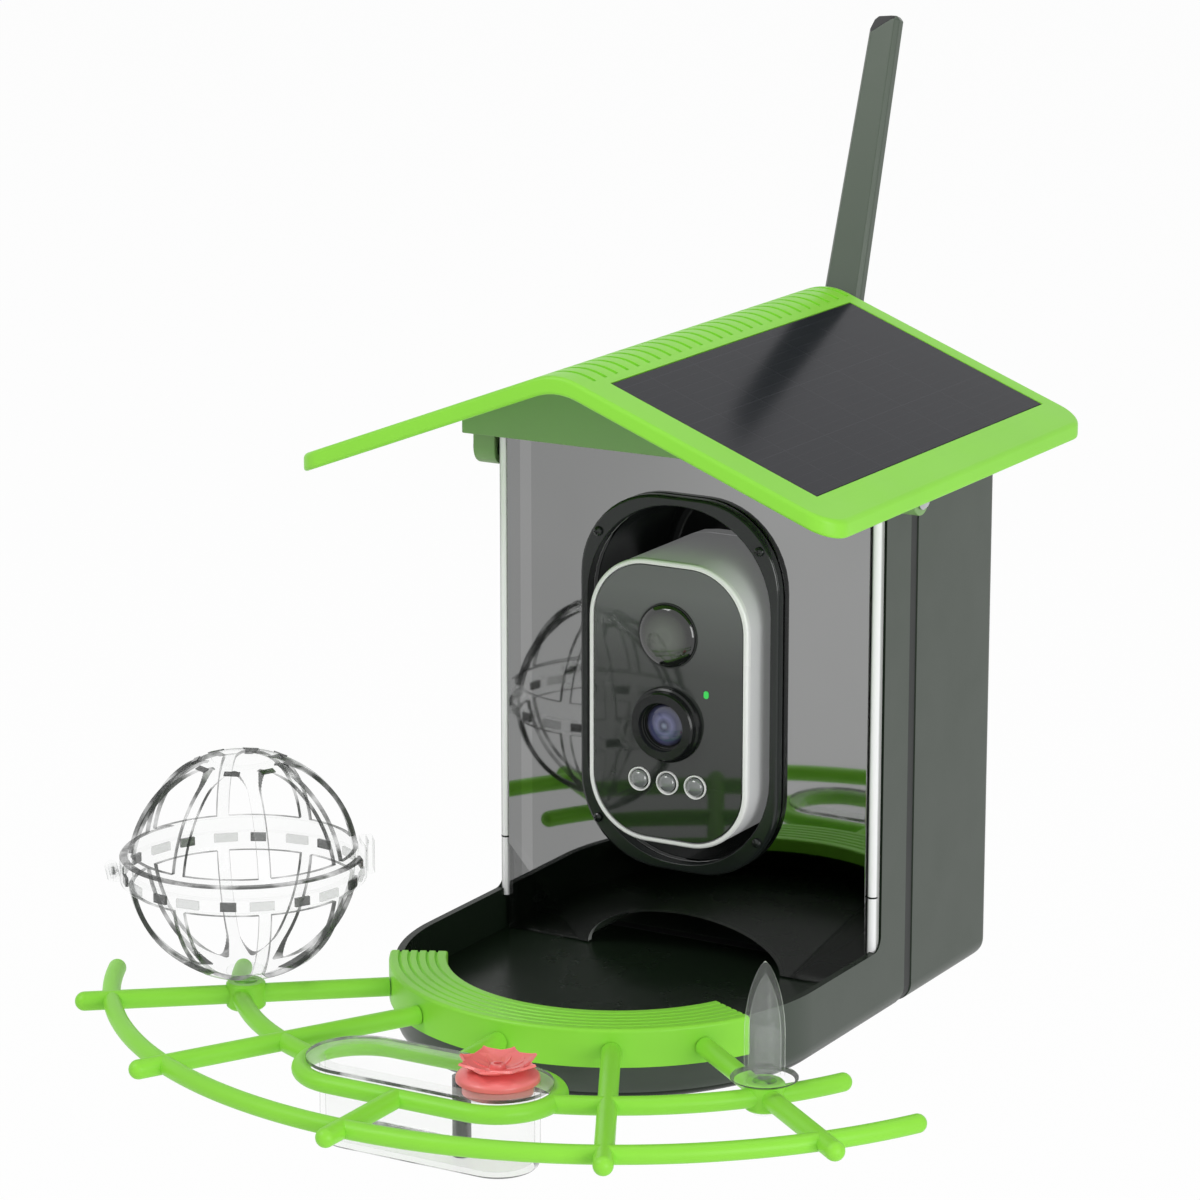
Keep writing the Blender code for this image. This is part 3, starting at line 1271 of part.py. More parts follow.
CAGE_PLACE = polar(RING_RADIUS + SOCKET_REACH, -SOCKET_ANGLE)
SPIKE_PLACE = polar(RING_RADIUS + SOCKET_REACH, SOCKET_ANGLE)
CAGE_CAP_RADIUS = 0.0125
CAGE_PLATE_RADIUS = 0.0085
SOCKET_TOP = PERCH_HEIGHT + SOCKET_LENGTH / 2
CAGE_HEIGHT = SOCKET_TOP + CAGE_LIFT + CAGE_RADIUS
CAGE_BAND_RADIUS = CAGE_RADIUS + CAGE_BAND_PROUD
WINDOW_START_SHARE = 0.16
WINDOW_END_SHARE = 0.916
ARCH_START_SHARE = 0.85
WINDOW_NEAR = 0.011
CAGE_RIB_WIDTH = 0.0053
LATCH_WIDTH = 0.007
LATCH_DEPTH = 0.0022
CAGE_PIN_RADIUS = 0.001
CAGE_EYE_RADIUS = 0.0022
CAGE_EYE_LENGTH = 0.004
LATCH_ANGLE = math.radians(40)
CAGE_HINGE_ANGLE = LATCH_ANGLE + math.pi
CAGE_HINGE_RADIUS = CAGE_BAND_RADIUS + CAGE_EYE_RADIUS + GAP


def half_ball(name, up):
    """A half shell with a band at its equator, a flat end and arched windows between its ribs."""
    outer, inner = CAGE_RADIUS, CAGE_RADIUS - CAGE_WALL
    end_radius = CAGE_CAP_RADIUS if up > 0 else CAGE_PLATE_RADIUS
    start = GAP / 2
    band_top = start + CAGE_BAND_HEIGHT
    first = math.asin(band_top / outer)
    last = math.acos(end_radius / outer)
    steps = 5
    turns = [first + (last - first) * i / steps for i in range(steps + 1)]
    outside = [(outer * math.cos(t), outer * math.sin(t)) for t in turns]
    flat = outside[-1][1]
    inner_last = math.asin((flat - CAGE_WALL) / inner)
    turns = [inner_last + (math.asin(start / inner) - inner_last) * i / steps for i in range(steps + 1)]
    inside = [(inner * math.cos(t), inner * math.sin(t)) for t in turns]
    profile = [(CAGE_BAND_RADIUS, start), (CAGE_BAND_RADIUS, band_top), *outside, (0, flat)]
    profile += [(0, flat - CAGE_WALL), *inside]
    profile = [(radius, up * height) for radius, height in profile]
    if up > 0:
        profile.reverse()
    ball = turned(name, profile, (0, 0, 0), "Z", CAGE_WINDOWS * 4)
    height = [outer * share for share in (WINDOW_START_SHARE, WINDOW_END_SHARE)]
    pitch = 2 * math.pi / CAGE_WINDOWS
    for number in range(CAGE_WINDOWS):
        window = window_wedge(height, pitch / 2, up)
        window.data.transform(Matrix.Rotation((number + 1 / 2) * pitch, 4, "Z"))
        cut(ball, window)
    return ball


def window_wedge(height, spread, up):
    """An arched cutter that widens outwards along +X and leaves half a rib on either side."""
    low, high = height
    far = CAGE_RADIUS + CUT
    half_rib = CAGE_RIB_WIDTH / 2 / math.cos(spread)
    near_half, far_half = [reach * math.tan(spread) - half_rib for reach in (WINDOW_NEAR, far)]
    middle = low + (high - low) * ARCH_START_SHARE
    arch = arc((0, 0), 1, 180, 0, 5)
    outline = [(-far_half, low)]
    outline += [(x * far_half, middle + y * (high - middle)) for x, y in arch]
    outline.append((far_half, low))
    outline = [(x, up * y) for x, y in outline]
    wedge = prism("cage_window", outline, WINDOW_NEAR, far, "X")
    for vert in wedge.data.vertices:
        if near(vert.co.x, WINDOW_NEAR):
            vert.co.y *= near_half / far_half
    return wedge


def on_cage(piece, angle=0):
    """Turns a piece drawn about the origin to this angle and moves it to the ball's centre."""
    centre = Matrix.Translation((*CAGE_PLACE, CAGE_HEIGHT))
    piece.data.transform(centre @ Matrix.Rotation(angle, 4, "Z"))
    return piece


def hinge_eye(name, low, high, up):
    """An eye on the hinge line, with a web that runs in to the band above or below."""
    eye = cylinder(name, CAGE_EYE_RADIUS, (CAGE_HINGE_RADIUS, low, 0), (CAGE_HINGE_RADIUS, high, 0), 12)
    inside = CAGE_RADIUS
    heights = sorted((up * GAP, up * CAGE_EYE_RADIUS))
    web = box("web", (inside, low, heights[0]), (CAGE_HINGE_RADIUS, high, heights[1]))
    join(eye, web)
    reach = CAGE_EYE_LENGTH * 2
    start, end = (CAGE_HINGE_RADIUS, -reach, 0), (CAGE_HINGE_RADIUS, reach, 0)
    cut(eye, cylinder("eye_bore", CAGE_PIN_RADIUS + GAP, start, end, 8))
    return bake(eye)


def make_cage_bowl():
    """The lower half ball on its collar and stem, with the hinge's two outer eyes."""
    bowl = half_ball("cage_bowl", -1)
    half = CAGE_EYE_LENGTH / 2
    for side in (-1, 1):
        low, high = sorted((side * (half + GAP), side * (half + CAGE_EYE_LENGTH)))
        eye = hinge_eye("bowl_eye", low, high, -1)
        eye.data.transform(Matrix.Rotation(CAGE_HINGE_ANGLE, 4, "Z"))
        join(bowl, eye)
    plate = -math.sqrt(CAGE_RADIUS ** 2 - CAGE_PLATE_RADIUS ** 2)
    collar = SOCKET_TOP + GAP - CAGE_HEIGHT
    join(bowl, cylinder("collar", SOCKET_RADIUS, (0, 0, plate + CAGE_WALL / 2), (0, 0, collar)))
    tip = PERCH_HEIGHT - SOCKET_LENGTH / 2 - STEM_PROUD - CAGE_HEIGHT
    join(bowl, cylinder("stem", STEM_RADIUS, (0, 0, collar + GAP), (0, 0, tip)))
    return on_cage(bake(bowl))


def make_cage_lid():
    lid = half_ball("cage_lid", 1)
    half = CAGE_EYE_LENGTH / 2
    eye = hinge_eye("lid_eye", -half, half, 1)
    eye.data.transform(Matrix.Rotation(CAGE_HINGE_ANGLE, 4, "Z"))
    join(lid, eye)
    return on_cage(bake(lid))


def make_cage_pin():
    reach = CAGE_EYE_LENGTH * 3 / 2
    start, end = (CAGE_HINGE_RADIUS, -reach, 0), (CAGE_HINGE_RADIUS, reach, 0)
    return on_cage(cylinder("cage_pin", CAGE_PIN_RADIUS, start, end, 8), CAGE_HINGE_ANGLE)


def make_cage_latch():
    """A clip that stands on the lid's band and hangs over the bowl's."""
    inside = CAGE_BAND_RADIUS + GAP
    half = LATCH_WIDTH / 2
    low, high = -CAGE_BAND_HEIGHT, CAGE_BAND_HEIGHT + 2 * GAP + LATCH_DEPTH
    clip = box("cage_latch", (inside, -half, low), (inside + LATCH_DEPTH, half, high))
    lip = CAGE_BAND_HEIGHT + 2 * GAP
    join(clip, box("lip", (inside - LATCH_DEPTH, -half, lip), (inside + GAP, half, high)))
    return on_cage(bake(clip), LATCH_ANGLE)


# Fruit spike

STEM_PROUD = 0.0015
SPIKE_FLANGE_RADIUS = 0.0107
SPIKE_FLANGE = 0.0018
SPIKE_WALL = 0.0013
SPIKE_BORE = 0.0020
SPIKE_FIN = 0.0010
SPIKE_SHOULDER_SHARE = 0.35
SPIKE_ROOT = SOCKET_TOP + GAP + SPIKE_FLANGE


def spike_radius(share, radius):
    """The bullet's radius at this share of its height above the flange."""
    if share < SPIKE_SHOULDER_SHARE:
        return radius
    along = (share - SPIKE_SHOULDER_SHARE) / (1 - SPIKE_SHOULDER_SHARE)
    return radius * math.sqrt(max(0, 1 - along ** 2.2))


def make_fruit_spike():
    """A hollow clear bullet on a flange, open down its stem, with crossed fins inside."""
    root = SPIKE_ROOT
    height = SPIKE_TIP - root
    steps = 9
    shares = [1 - i / steps for i in range(steps + 1)]
    outer = [(spike_radius(share, SPIKE_RADIUS), root + height * share) for share in shares]
    foot = SOCKET_TOP + GAP
    tip = PERCH_HEIGHT - SOCKET_LENGTH / 2 - STEM_PROUD
    flange = [(SPIKE_FLANGE_RADIUS, root), (SPIKE_FLANGE_RADIUS, root - SPIKE_FLANGE / 2)]
    flange += [(SPIKE_FLANGE_RADIUS - SPIKE_FLANGE, foot), (STEM_RADIUS, foot)]
    inner_height = height - 2 * SPIKE_WALL
    low = [1 - share for share in shares]
    inner = [(spike_radius(share, SPIKE_RADIUS - SPIKE_WALL), root + inner_height * share) for share in low]
    profile = [*outer, *flange, (STEM_RADIUS, tip), (SPIKE_BORE, tip), (SPIKE_BORE, root), *inner]
    spike = turned("fruit_spike", profile, (*SPIKE_PLACE, 0), "Z", 16)
    reach = SPIKE_RADIUS - SPIKE_WALL / 2
    x, y = SPIKE_PLACE
    low, high = root + SPIKE_WALL, root + height * SPIKE_SHOULDER_SHARE
    half = SPIKE_FIN / 2
    fin = box("fin", (x - reach, y - half, low), (x + reach, y + half, high))
    join(fin, box("cross_fin", (x - half, y - reach, low), (x + half, y + reach, high)))
    return join(spike, bake(fin))


# Nectar cup

FLANGE_THICKNESS = 0.0015
CUP_BASE_ROUND = 0.002
CUP_X = HOLDER_STRAIGHT / 2
CUP_BEARING = HOLDER_RADIUS - CUP_FLANGE_RADIUS
CUP_SEAT = PERCH_HEIGHT + math.sqrt(HOLDER_TUBE_RADIUS ** 2 - CUP_BEARING ** 2) + GAP
CUP_TOP = CUP_SEAT + FLANGE_THICKNESS
CUP_LOW = CUP_SEAT - CUP_DEPTH
CUP_ROOM_RADIUS = CUP_WALL_RADIUS - CUP_WALL
PLUG_DEPTH = 0.004
PLUG_WALL = 0.0015
FEED_TUBE_ACROSS = 0.0120
FEED_TUBE_FORWARD = 0.0020
FEED_TUBE_BORE = 0.0018
FLOWER_DOME = 0.0062
FLOWER_NECK = 0.0060
PETAL_REACH = 0.0122
PETAL_NOTCH = 0.0070
PETAL_THICKNESS = 0.0010
PETAL_TILT = math.radians(24)
PETAL_START = 0.0022
PETAL_TWIST_SHARE = 0.3
NECTAR_HOLE = 0.0016


def cup_outline(radius):
    return stadium(HOLDER_STRAIGHT, radius, (0, HOLDER_Y))


def make_nectar_cup():
    """A clear oval cup that hangs in the holder by its flange."""
    cup = prism("nectar_cup", cup_outline(CUP_WALL_RADIUS), CUP_LOW, CUP_SEAT + GAP)
    round_edges(cup, CUP_BASE_ROUND, lambda co: near(co.z, CUP_LOW))
    flange = prism("cup_flange", cup_outline(CUP_FLANGE_RADIUS), CUP_SEAT, CUP_TOP)
    round_edges(flange, FLANGE_THICKNESS / 3, lambda co: near(co.z, CUP_TOP), 1)
    join(cup, flange)
    return cut(cup, prism("cup_room", cup_outline(CUP_ROOM_RADIUS), CUP_LOW + CUP_WALL, CUP_TOP + CUT))


def feed_tube_place():
    return CUP_X - FEED_TUBE_ACROSS, HOLDER_Y - FEED_TUBE_FORWARD


def make_feed_tube():
    """A short open tube that stands on the cup's floor under the flower's edge."""
    x, y = feed_tube_place()
    low, high = CUP_LOW + CUP_WALL + GAP, CUP_TOP
    outer, bore = FEED_TUBE_RADIUS, FEED_TUBE_BORE
    profile = [(outer, high), (outer, low), (bore, low), (bore, high)]
    return turned("feed_tube", profile, (x, y, 0), "Z", 16)


def make_petals(top):
    """The ring of pointed petals: one star that flares up from inside the flower's neck."""
    bm = bmesh.new()
    count = 2 * FLOWER_PETALS
    rings = []
    for drop in (GAP, GAP + PETAL_THICKNESS):
        for reaches in ((PETAL_START, PETAL_START), (PETAL_NOTCH, PETAL_REACH)):
            ring = []
            for number in range(count):
                reach = reaches[number % 2]
                turn = math.pi * (number + PETAL_TWIST_SHARE) / FLOWER_PETALS
                height = top - drop + (reach - PETAL_START) * math.tan(PETAL_TILT)
                ring.append(bm.verts.new((reach * math.cos(turn), reach * math.sin(turn), height)))
            rings.append(ring)
    inner, outer, inner_low, outer_low = rings
    for one, other in ((inner, outer), (outer, outer_low), (outer_low, inner_low), (inner_low, inner)):
        for number in range(count):
            following = (number + 1) % count
            bm.faces.new((one[number], other[number], other[following], one[following]))
    bmesh.ops.triangulate(bm, faces=bm.faces)
    star = from_bmesh("petals", bm)
    star.data.transform(Matrix.Translation((CUP_X, HOLDER_Y, 0)))
    return star


def make_flower_port():
    """A red dome with a ring of petals, a drinking hole, and a plug that fits the cup's end."""
    foot = CUP_TOP + GAP
    ring = CUP_ROOM_RADIUS - GAP
    turns = [math.radians(90) * i / 4 for i in range(5)]
    rise = FLOWER_DOME - PLUG_WALL
    spread = FLOWER_RADIUS - FLOWER_NECK
    side = [
        (FLOWER_NECK + spread * math.cos(t), foot + PLUG_WALL + rise * math.sin(t)) for t in reversed(turns)
    ]
    top = foot + FLOWER_DOME
    profile = [(NECTAR_HOLE, top), *side, (FLOWER_RADIUS, foot), (ring, foot), (ring, foot - PLUG_DEPTH)]
    inner = ring - PLUG_WALL
    profile += [(inner, foot - PLUG_DEPTH), (inner, foot + PLUG_WALL)]
    profile += [(FLOWER_NECK, top - PLUG_WALL), (NECTAR_HOLE, top - PLUG_WALL)]
    flower = turned("flower_port", profile, (CUP_X, HOLDER_Y, 0), "Z", 24)
    join(flower, make_petals(top))
    x, y = feed_tube_place()
    clearance = FEED_TUBE_RADIUS + GAP
    cut(flower, cylinder("tube_notch", clearance, (x, y, foot - PLUG_DEPTH - CUT), (x, y, foot)))
    return flower


# Assembly


def build():
    frame = carrier("feeder_frame")
    roof = carrier("roof_hinge", (0, HINGE_Y, HINGE_Z), frame)
    camera = carrier("camera_tilt", (0, TILT_Y, CAMERA_Z), frame)
    button = carrier("power_button_slide", (0, BACK_Y, CAMERA_Z + BUTTON_RISE), camera)
    aerial = carrier("antenna_swivel", (0, KNUCKLE_START, ANTENNA_HEIGHT), frame)
    blade = carrier("antenna_tilt", (0, ANTENNA_SETBACK, ANTENNA_HEIGHT), aerial)
    cage = carrier("cage_pull", (*CAGE_PLACE, SOCKET_TOP), frame)
    reach = Vector((math.cos(CAGE_HINGE_ANGLE), math.sin(CAGE_HINGE_ANGLE))) * CAGE_HINGE_RADIUS
    lid = carrier("cage_lid_hinge", (*(CAGE_PLACE + reach), CAGE_HEIGHT), cage)
    cup = carrier("cup_lift", (0, HOLDER_Y, CUP_SEAT), frame)
    flower = carrier("flower_pull", (CUP_X, HOLDER_Y, CUP_TOP), cup)
    spike = carrier("spike_pull", (*SPIKE_PLACE, SOCKET_TOP), frame)

    dark_green = new_material("dark_green_plastic", (0.075, 0.095, 0.082), 0.35)
    lime = new_material("lime_plastic", (0.25, 0.72, 0.07), 0.4)
    sage = new_material("sage_plastic", (0.11, 0.24, 0.08), 0.45)
    black = new_material("black_plastic", (0.012, 0.014, 0.014), 0.3)
    rubber = new_material("black_rubber", (0.02, 0.02, 0.02), 0.8)
    tinted = new_material("tinted_clear", (0.45, 0.46, 0.47), 0.05, transmission=0.9)
    clear = new_material("clear_plastic", (0.95, 0.97, 0.97), 0.03, transmission=1)
    white = new_material("white_plastic", (0.75, 0.75, 0.76), 0.35)
    gloss = new_material("dark_gloss", (0.08, 0.09, 0.085), 0.08)
    glass = new_material("lens_glass", (0.06, 0.05, 0.18), 0.02)
    led = new_material("green_led", (0.05, 0.8, 0.12), 0.3)
    solar = new_material("solar_cells", (0.03, 0.032, 0.045), 0.15)
    steel = new_material("steel", (0.6, 0.6, 0.6), 0.3, metallic=1)
    brass = new_material("brass", (0.78, 0.57, 0.25), 0.3, metallic=1)
    board = new_material("circuit_board", (0.02, 0.18, 0.07), 0.5)
    cell = new_material("cell_wrap", (0.05, 0.16, 0.45), 0.4)
    coral = new_material("coral_plastic", (0.85, 0.07, 0.10), 0.4)

    finish(make_front_body(), dark_green, frame)
    finish(make_rear_housing(), dark_green, frame)
    finish(make_seam_gasket(), rubber, frame)
    finish(make_rear_insert(), brass, frame)
    for number, (x, z) in enumerate(TOWERS, 1):
        finish(make_housing_screw(number, x, z), steel, frame)
    finish(make_window_panel(), tinted, frame)
    finish(make_window_edge("window_edge_left", -1), clear, frame)
    finish(make_window_edge("window_edge_right", 1), clear, frame)
    finish(make_seed_funnel(), dark_green, frame)
    finish(make_camera_collar(), black, frame)
    finish(make_camera_bay(), black, frame)
    for number, (x, z) in enumerate(COLLAR_SCREWS, 1):
        finish(make_collar_screw(number, x, z), steel, frame)
    finish(make_camera_bracket(), black, frame)
    finish(make_bracket_pin(), steel, frame)
    finish(make_landing_ring(), lime, frame)
    finish(make_perch_frame(), lime, frame)
    finish(make_antenna_connector(), brass, frame)
    finish(make_roof_pin("roof_pin_left", -1), steel, frame)
    finish(make_roof_pin("roof_pin_right", 1), steel, frame)

    finish(make_roof_shell(), lime, roof)
    finish(make_solar_panel(), solar, roof)
    finish(make_gable_skirt(), sage, roof)
    for number, (x, y) in enumerate(ROOF_SCREWS, 1):
        finish(make_roof_screw(number, x, y), steel, roof)

    finish(make_camera_shell(), white, camera)
    finish(make_camera_face(), gloss, camera)
    finish(plug("pir_dome", PIR_RADIUS, PIR_BULGE, PLUG_RADIUS, 0, CAMERA_Z + PIR_RISE, 20), gloss, camera)
    finish(make_lens_barrel(), black, camera)
    finish(make_lens_glass(), glass, camera)
    place = (LED_ACROSS, CAMERA_Z + LED_RISE)
    light = plug("status_led", LED_RADIUS * 4 / 3, LED_RADIUS / 2, LED_RADIUS, *place, 8)
    finish(light, led, camera)
    for number, (x, z) in enumerate(IR_PLACES, 1):
        peg = IR_RADIUS * PEG_SHARE
        finish(plug(f"ir_lens_{number}", IR_RADIUS, IR_RADIUS / 4, peg, x, z), clear, camera)
    finish(make_camera_board(), board, camera)
    for number, side in enumerate((-1, 1), 1):
        finish(make_battery_cell(number, side), cell, camera)
    finish(make_camera_back(), white, camera)
    finish(make_port_cover(), rubber, camera)
    finish(make_power_button(), black, button)

    finish(make_antenna_knuckle(), black, aerial)
    finish(make_antenna_pin(), steel, aerial)
    finish(make_antenna_blade(), dark_green, blade)

    finish(make_cage_bowl(), clear, cage)
    finish(make_cage_pin(), clear, cage)
    finish(make_cage_lid(), clear, lid)
    finish(make_cage_latch(), clear, lid)
    finish(make_nectar_cup(), clear, cup)
    finish(make_feed_tube(), clear, cup)
    finish(make_flower_port(), coral, flower)
    finish(make_fruit_spike(), clear, spike)
    bpy.data.collections.remove(WORKSHOP)


build()
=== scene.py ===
"""Camera bird feeder: the visible pieces, their finishes and the studio round them.

Shapes are drawn in the feeder's own frame, as in the part's source: Z starts at the base and Y at
the rear wall. placed() moves each one down to the threaded socket, which is the part's origin.
"""

import json
from math import acos, asin, cos, degrees, pi, radians, sin, sqrt, tan

import bmesh
import bpy
from mathutils import Matrix, Vector


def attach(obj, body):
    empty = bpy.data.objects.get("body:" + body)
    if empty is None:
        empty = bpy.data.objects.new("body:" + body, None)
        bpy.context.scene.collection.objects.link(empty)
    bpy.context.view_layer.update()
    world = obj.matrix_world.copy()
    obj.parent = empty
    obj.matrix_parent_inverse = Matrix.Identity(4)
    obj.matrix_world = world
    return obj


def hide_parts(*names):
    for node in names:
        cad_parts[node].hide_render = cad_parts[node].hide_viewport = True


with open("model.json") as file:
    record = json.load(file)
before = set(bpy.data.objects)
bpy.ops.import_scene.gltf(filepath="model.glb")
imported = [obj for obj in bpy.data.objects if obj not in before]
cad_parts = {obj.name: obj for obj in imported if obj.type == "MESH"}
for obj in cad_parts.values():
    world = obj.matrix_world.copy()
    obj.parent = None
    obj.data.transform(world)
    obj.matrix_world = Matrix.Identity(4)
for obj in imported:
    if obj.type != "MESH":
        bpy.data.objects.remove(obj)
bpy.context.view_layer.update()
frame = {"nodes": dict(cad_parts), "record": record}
scene = bpy.context.scene

# Sizes shared with the part
SOCKET_HEIGHT = 0.110
GAP = 0.0003
SLOPE = radians(21.1)
HALF_WIDTH = 0.0739
WALL = 0.0025
WINDOW_Y = -0.0876
TRAY_Y = -0.1332
WALL_EDGE_Y = -0.0840
SEAM_Y = -0.066
REAR_DEPTH = 0.0605
HEIGHT = 0.190
FLOOR_TOP = 0.011
TRAY_RIM = 0.0255
RING_TOP = 0.0258
RING_SKIN = 0.0018
PERCH_HEIGHT = 0.0184
HOLDER_Y = -0.2513
HOLDER_HALF = 0.0252
HOLDER_RADIUS = 0.0191
HINGE_Y, HINGE_Z = -0.0798, 0.181
ANTENNA_HEIGHT = 0.165
BAY_Z = 0.1089
CAMERA_Z = 0.10435
CAMERA_Y = -0.0991
LENS_Z = CAMERA_Z - 0.0070
SENSOR_Z = CAMERA_Z + 0.0238
LAMP_Z = CAMERA_Z - 0.0275
ABOVE_ALL = 0.2
BESIDE_ALL = 0.08


# Meshes


def ring_points(centre, radius, start, end, steps):
    """Points along an arc in a plane, its angles in degrees from the first axis."""
    turns = [radians(start + (end - start) * i / steps) for i in range(steps + 1)]
    return [(centre[0] + radius * cos(t), centre[1] + radius * sin(t)) for t in turns]


def rounded(width, height, radius, centre, steps=12):
    """The outline of a rectangle with round corners."""
    across, up = width / 2 - radius, height / 2 - radius
    points = []
    for x, y, start in ((across, up, 0), (-across, up, 90), (-across, -up, 180), (across, -up, 270)):
        points += ring_points((centre[0] + x, centre[1] + y), radius, start, start + 90, steps)
    return points


def oval(half, radius, centre):
    """The outline of two half circles with straight sides between them."""
    right = ring_points((centre[0] + half, centre[1]), radius, -90, 90, 24)
    return right + ring_points((centre[0] - half, centre[1]), radius, 90, 270, 24)


def standing(axis, a, b, level):
    """The point (a, b) of a flat drawing, stood square to the axis at this level."""
    return {"X": (level, a, b), "Y": (a, level, b), "Z": (a, b, level)}[axis]


def slab(outline, low, high, axis="Z"):
    """A flat drawing given thickness along the axis."""
    bm = bmesh.new()
    face = bm.faces.new([bm.verts.new(standing(axis, a, b, low)) for a, b in outline])
    made = bmesh.ops.extrude_face_region(bm, geom=[face])
    far = [item for item in made["geom"] if isinstance(item, bmesh.types.BMVert)]
    bmesh.ops.translate(bm, vec=standing(axis, 0, 0, high - low), verts=far)
    bmesh.ops.remove_doubles(bm, verts=bm.verts, dist=1e-7)
    return outward(bm)


def block(low, high):
    """A box between two corners."""
    bm = bmesh.new()
    bmesh.ops.create_cube(bm, size=1)
    bmesh.ops.scale(bm, vec=[b - a for a, b in zip(low, high)], verts=bm.verts)
    bmesh.ops.translate(bm, vec=[(a + b) / 2 for a, b in zip(low, high)], verts=bm.verts)
    return bm


def bar(start, end, radius, sides=24):
    """A round bar between two points."""
    start, end = Vector(start), Vector(end)
    run = end - start
    bm = bmesh.new()
    bmesh.ops.create_cone(bm, cap_ends=True, segments=sides, radius1=radius, radius2=radius, depth=run.length)
    turn = run.to_track_quat("Z", "Y").to_matrix().to_4x4()
    return moved(bm, Matrix.Translation((start + end) / 2) @ turn)


def ball(centre, radius):
    """A round end for a bar."""
    bm = bmesh.new()
    bmesh.ops.create_uvsphere(bm, u_segments=24, v_segments=12, radius=radius)
    return moved(bm, Matrix.Translation(centre))


def swept(bm, angle, steps, centre=(0, 0, 0), merge=False):
    """Spins all of a mesh about an upright axis."""
    bmesh.ops.spin(
        bm, geom=[*bm.verts, *bm.edges, *bm.faces], cent=centre, axis=(0, 0, 1), dvec=(0, 0, 0),
        angle=angle, steps=steps, use_merge=merge, use_duplicate=False,
    )


STAND = {"Z": Matrix.Identity(4), "-Y": Matrix.Rotation(radians(90), 4, "X")}


def turned(profile, foot=(0, 0, 0), axis="Z", steps=48):
    """A full spin of (radius, height) points round an axis that stands at the foot."""
    bm = bmesh.new()
    line = [bm.verts.new((radius, 0, height)) for radius, height in profile]
    pairs = list(zip(line, line[1:]))
    if line[0].co.x > 0 or line[-1].co.x > 0:
        pairs.append((line[-1], line[0]))
    for one, other in pairs:
        bm.edges.new((one, other))
    swept(bm, 2 * pi, steps, merge=True)
    bmesh.ops.remove_doubles(bm, verts=bm.verts, dist=1e-7)
    bmesh.ops.dissolve_degenerate(bm, edges=bm.edges, dist=1e-7)
    return moved(outward(bm), Matrix.Translation(foot) @ STAND[axis])


def bent_bar(centre, reach, radius, start, end, steps):
    """A round bar along an arc about an upright axis; angles in radians from the front towards +X."""
    bm = bmesh.new()
    bmesh.ops.create_circle(bm, cap_ends=True, segments=20, radius=radius)
    begin = upright(start - radians(90)) @ Matrix.Translation((reach, 0, 0))
    moved(bm, Matrix.Translation(centre) @ begin @ STAND["-Y"])
    swept(bm, end - start, steps, centre)
    return outward(bm)


def outward(bm):
    """A mesh with all its faces turned outwards."""
    bmesh.ops.recalc_face_normals(bm, faces=bm.faces)
    return bm


def moved(bm, matrix):
    """A mesh after a turn or a shift."""
    bmesh.ops.transform(bm, matrix=matrix, verts=bm.verts)
    return bm


def upright(turn):
    """A turn about the vertical, in radians."""
    return Matrix.Rotation(turn, 4, "Z")


def joined(*meshes):
    """Several closed shells as one mesh."""
    whole = bmesh.new()
    for bm in meshes:
        mesh = bpy.data.meshes.new("shell")
        bm.to_mesh(mesh)
        bm.free()
        whole.from_mesh(mesh)
        bpy.data.meshes.remove(mesh)
    return whole


def linked(name, data):
    """A new object in the scene."""
    made = bpy.data.objects.new(name, data)
    scene.collection.objects.link(made)
    return made


def loose(name, bm):
    """A mesh as an object of its own."""
    mesh = bpy.data.meshes.new(name)
    bm.to_mesh(mesh)
    bm.free()
    return linked(name, mesh)


def taken_back(made):
    """An object's mesh, to be joined with more; the object goes."""
    bm = bmesh.new()
    bm.from_mesh(made.data)
    bpy.data.objects.remove(made, do_unlink=True)
    return bm


def applied(obj):
    """Turns an object's modifiers into its mesh."""
    bpy.context.view_layer.update()
    graph = bpy.context.evaluated_depsgraph_get()
    mesh = bpy.data.meshes.new_from_object(obj.evaluated_get(graph))
    obj.modifiers.clear()
    obj.data = mesh
    return obj


def carved(made, cuts=(), adds=(), keeps=()):
    """Adds meshes to an object, keeps what lies inside others, then cuts others out of it."""
    helpers = []
    for operation, others in (("UNION", adds), ("INTERSECT", keeps), ("DIFFERENCE", cuts)):
        for other in others:
            helper = loose("helper", other)
            helpers.append(helper)
            modifier = made.modifiers.new("shape", "BOOLEAN")
            modifier.operation = operation
            modifier.object = helper
            modifier.solver = "EXACT"
    applied(made)
    for helper in helpers:
        bpy.data.objects.remove(helper, do_unlink=True)
    return made


def softened(made, width, segments=2, angle=35):
    """Rounds an object's sharp edges a little."""
    modifier = made.modifiers.new("soft_edges", "BEVEL")
    modifier.width = width
    modifier.segments = segments
    modifier.limit_method = "ANGLE"
    modifier.angle_limit = radians(angle)
    return applied(made)


def placed(made, body, finish, slot, *replaced, smooth=35):
    """Puts a piece in the feeder: its place, shading, finish, body and the nodes it stands for."""
    made.data.transform(Matrix.Translation((0, 0, -SOCKET_HEIGHT)))
    made.data.materials.clear()
    made.data.materials.append(finish)
    made.data.shade_smooth()
    made.data.set_sharp_from_angle(angle=radians(smooth))
    level = made.modifiers.new("level_normals", "WEIGHTED_NORMAL")
    level.keep_sharp = True
    applied(made)
    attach(made, body)
    if replaced:
        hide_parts(*replaced)
    return made


def edged(made, finish, test):
    """Gives the faces that pass the test a second finish; the test gets a face's centre and normal."""
    made.data.materials.append(finish)
    raised = Vector((0, 0, SOCKET_HEIGHT))
    for face in made.data.polygons:
        if test(face.center + raised, face.normal):
            face.material_index = len(made.data.materials) - 1


# Finishes


def operator(name):
    return lambda self, other: self.sum(name, self, other)


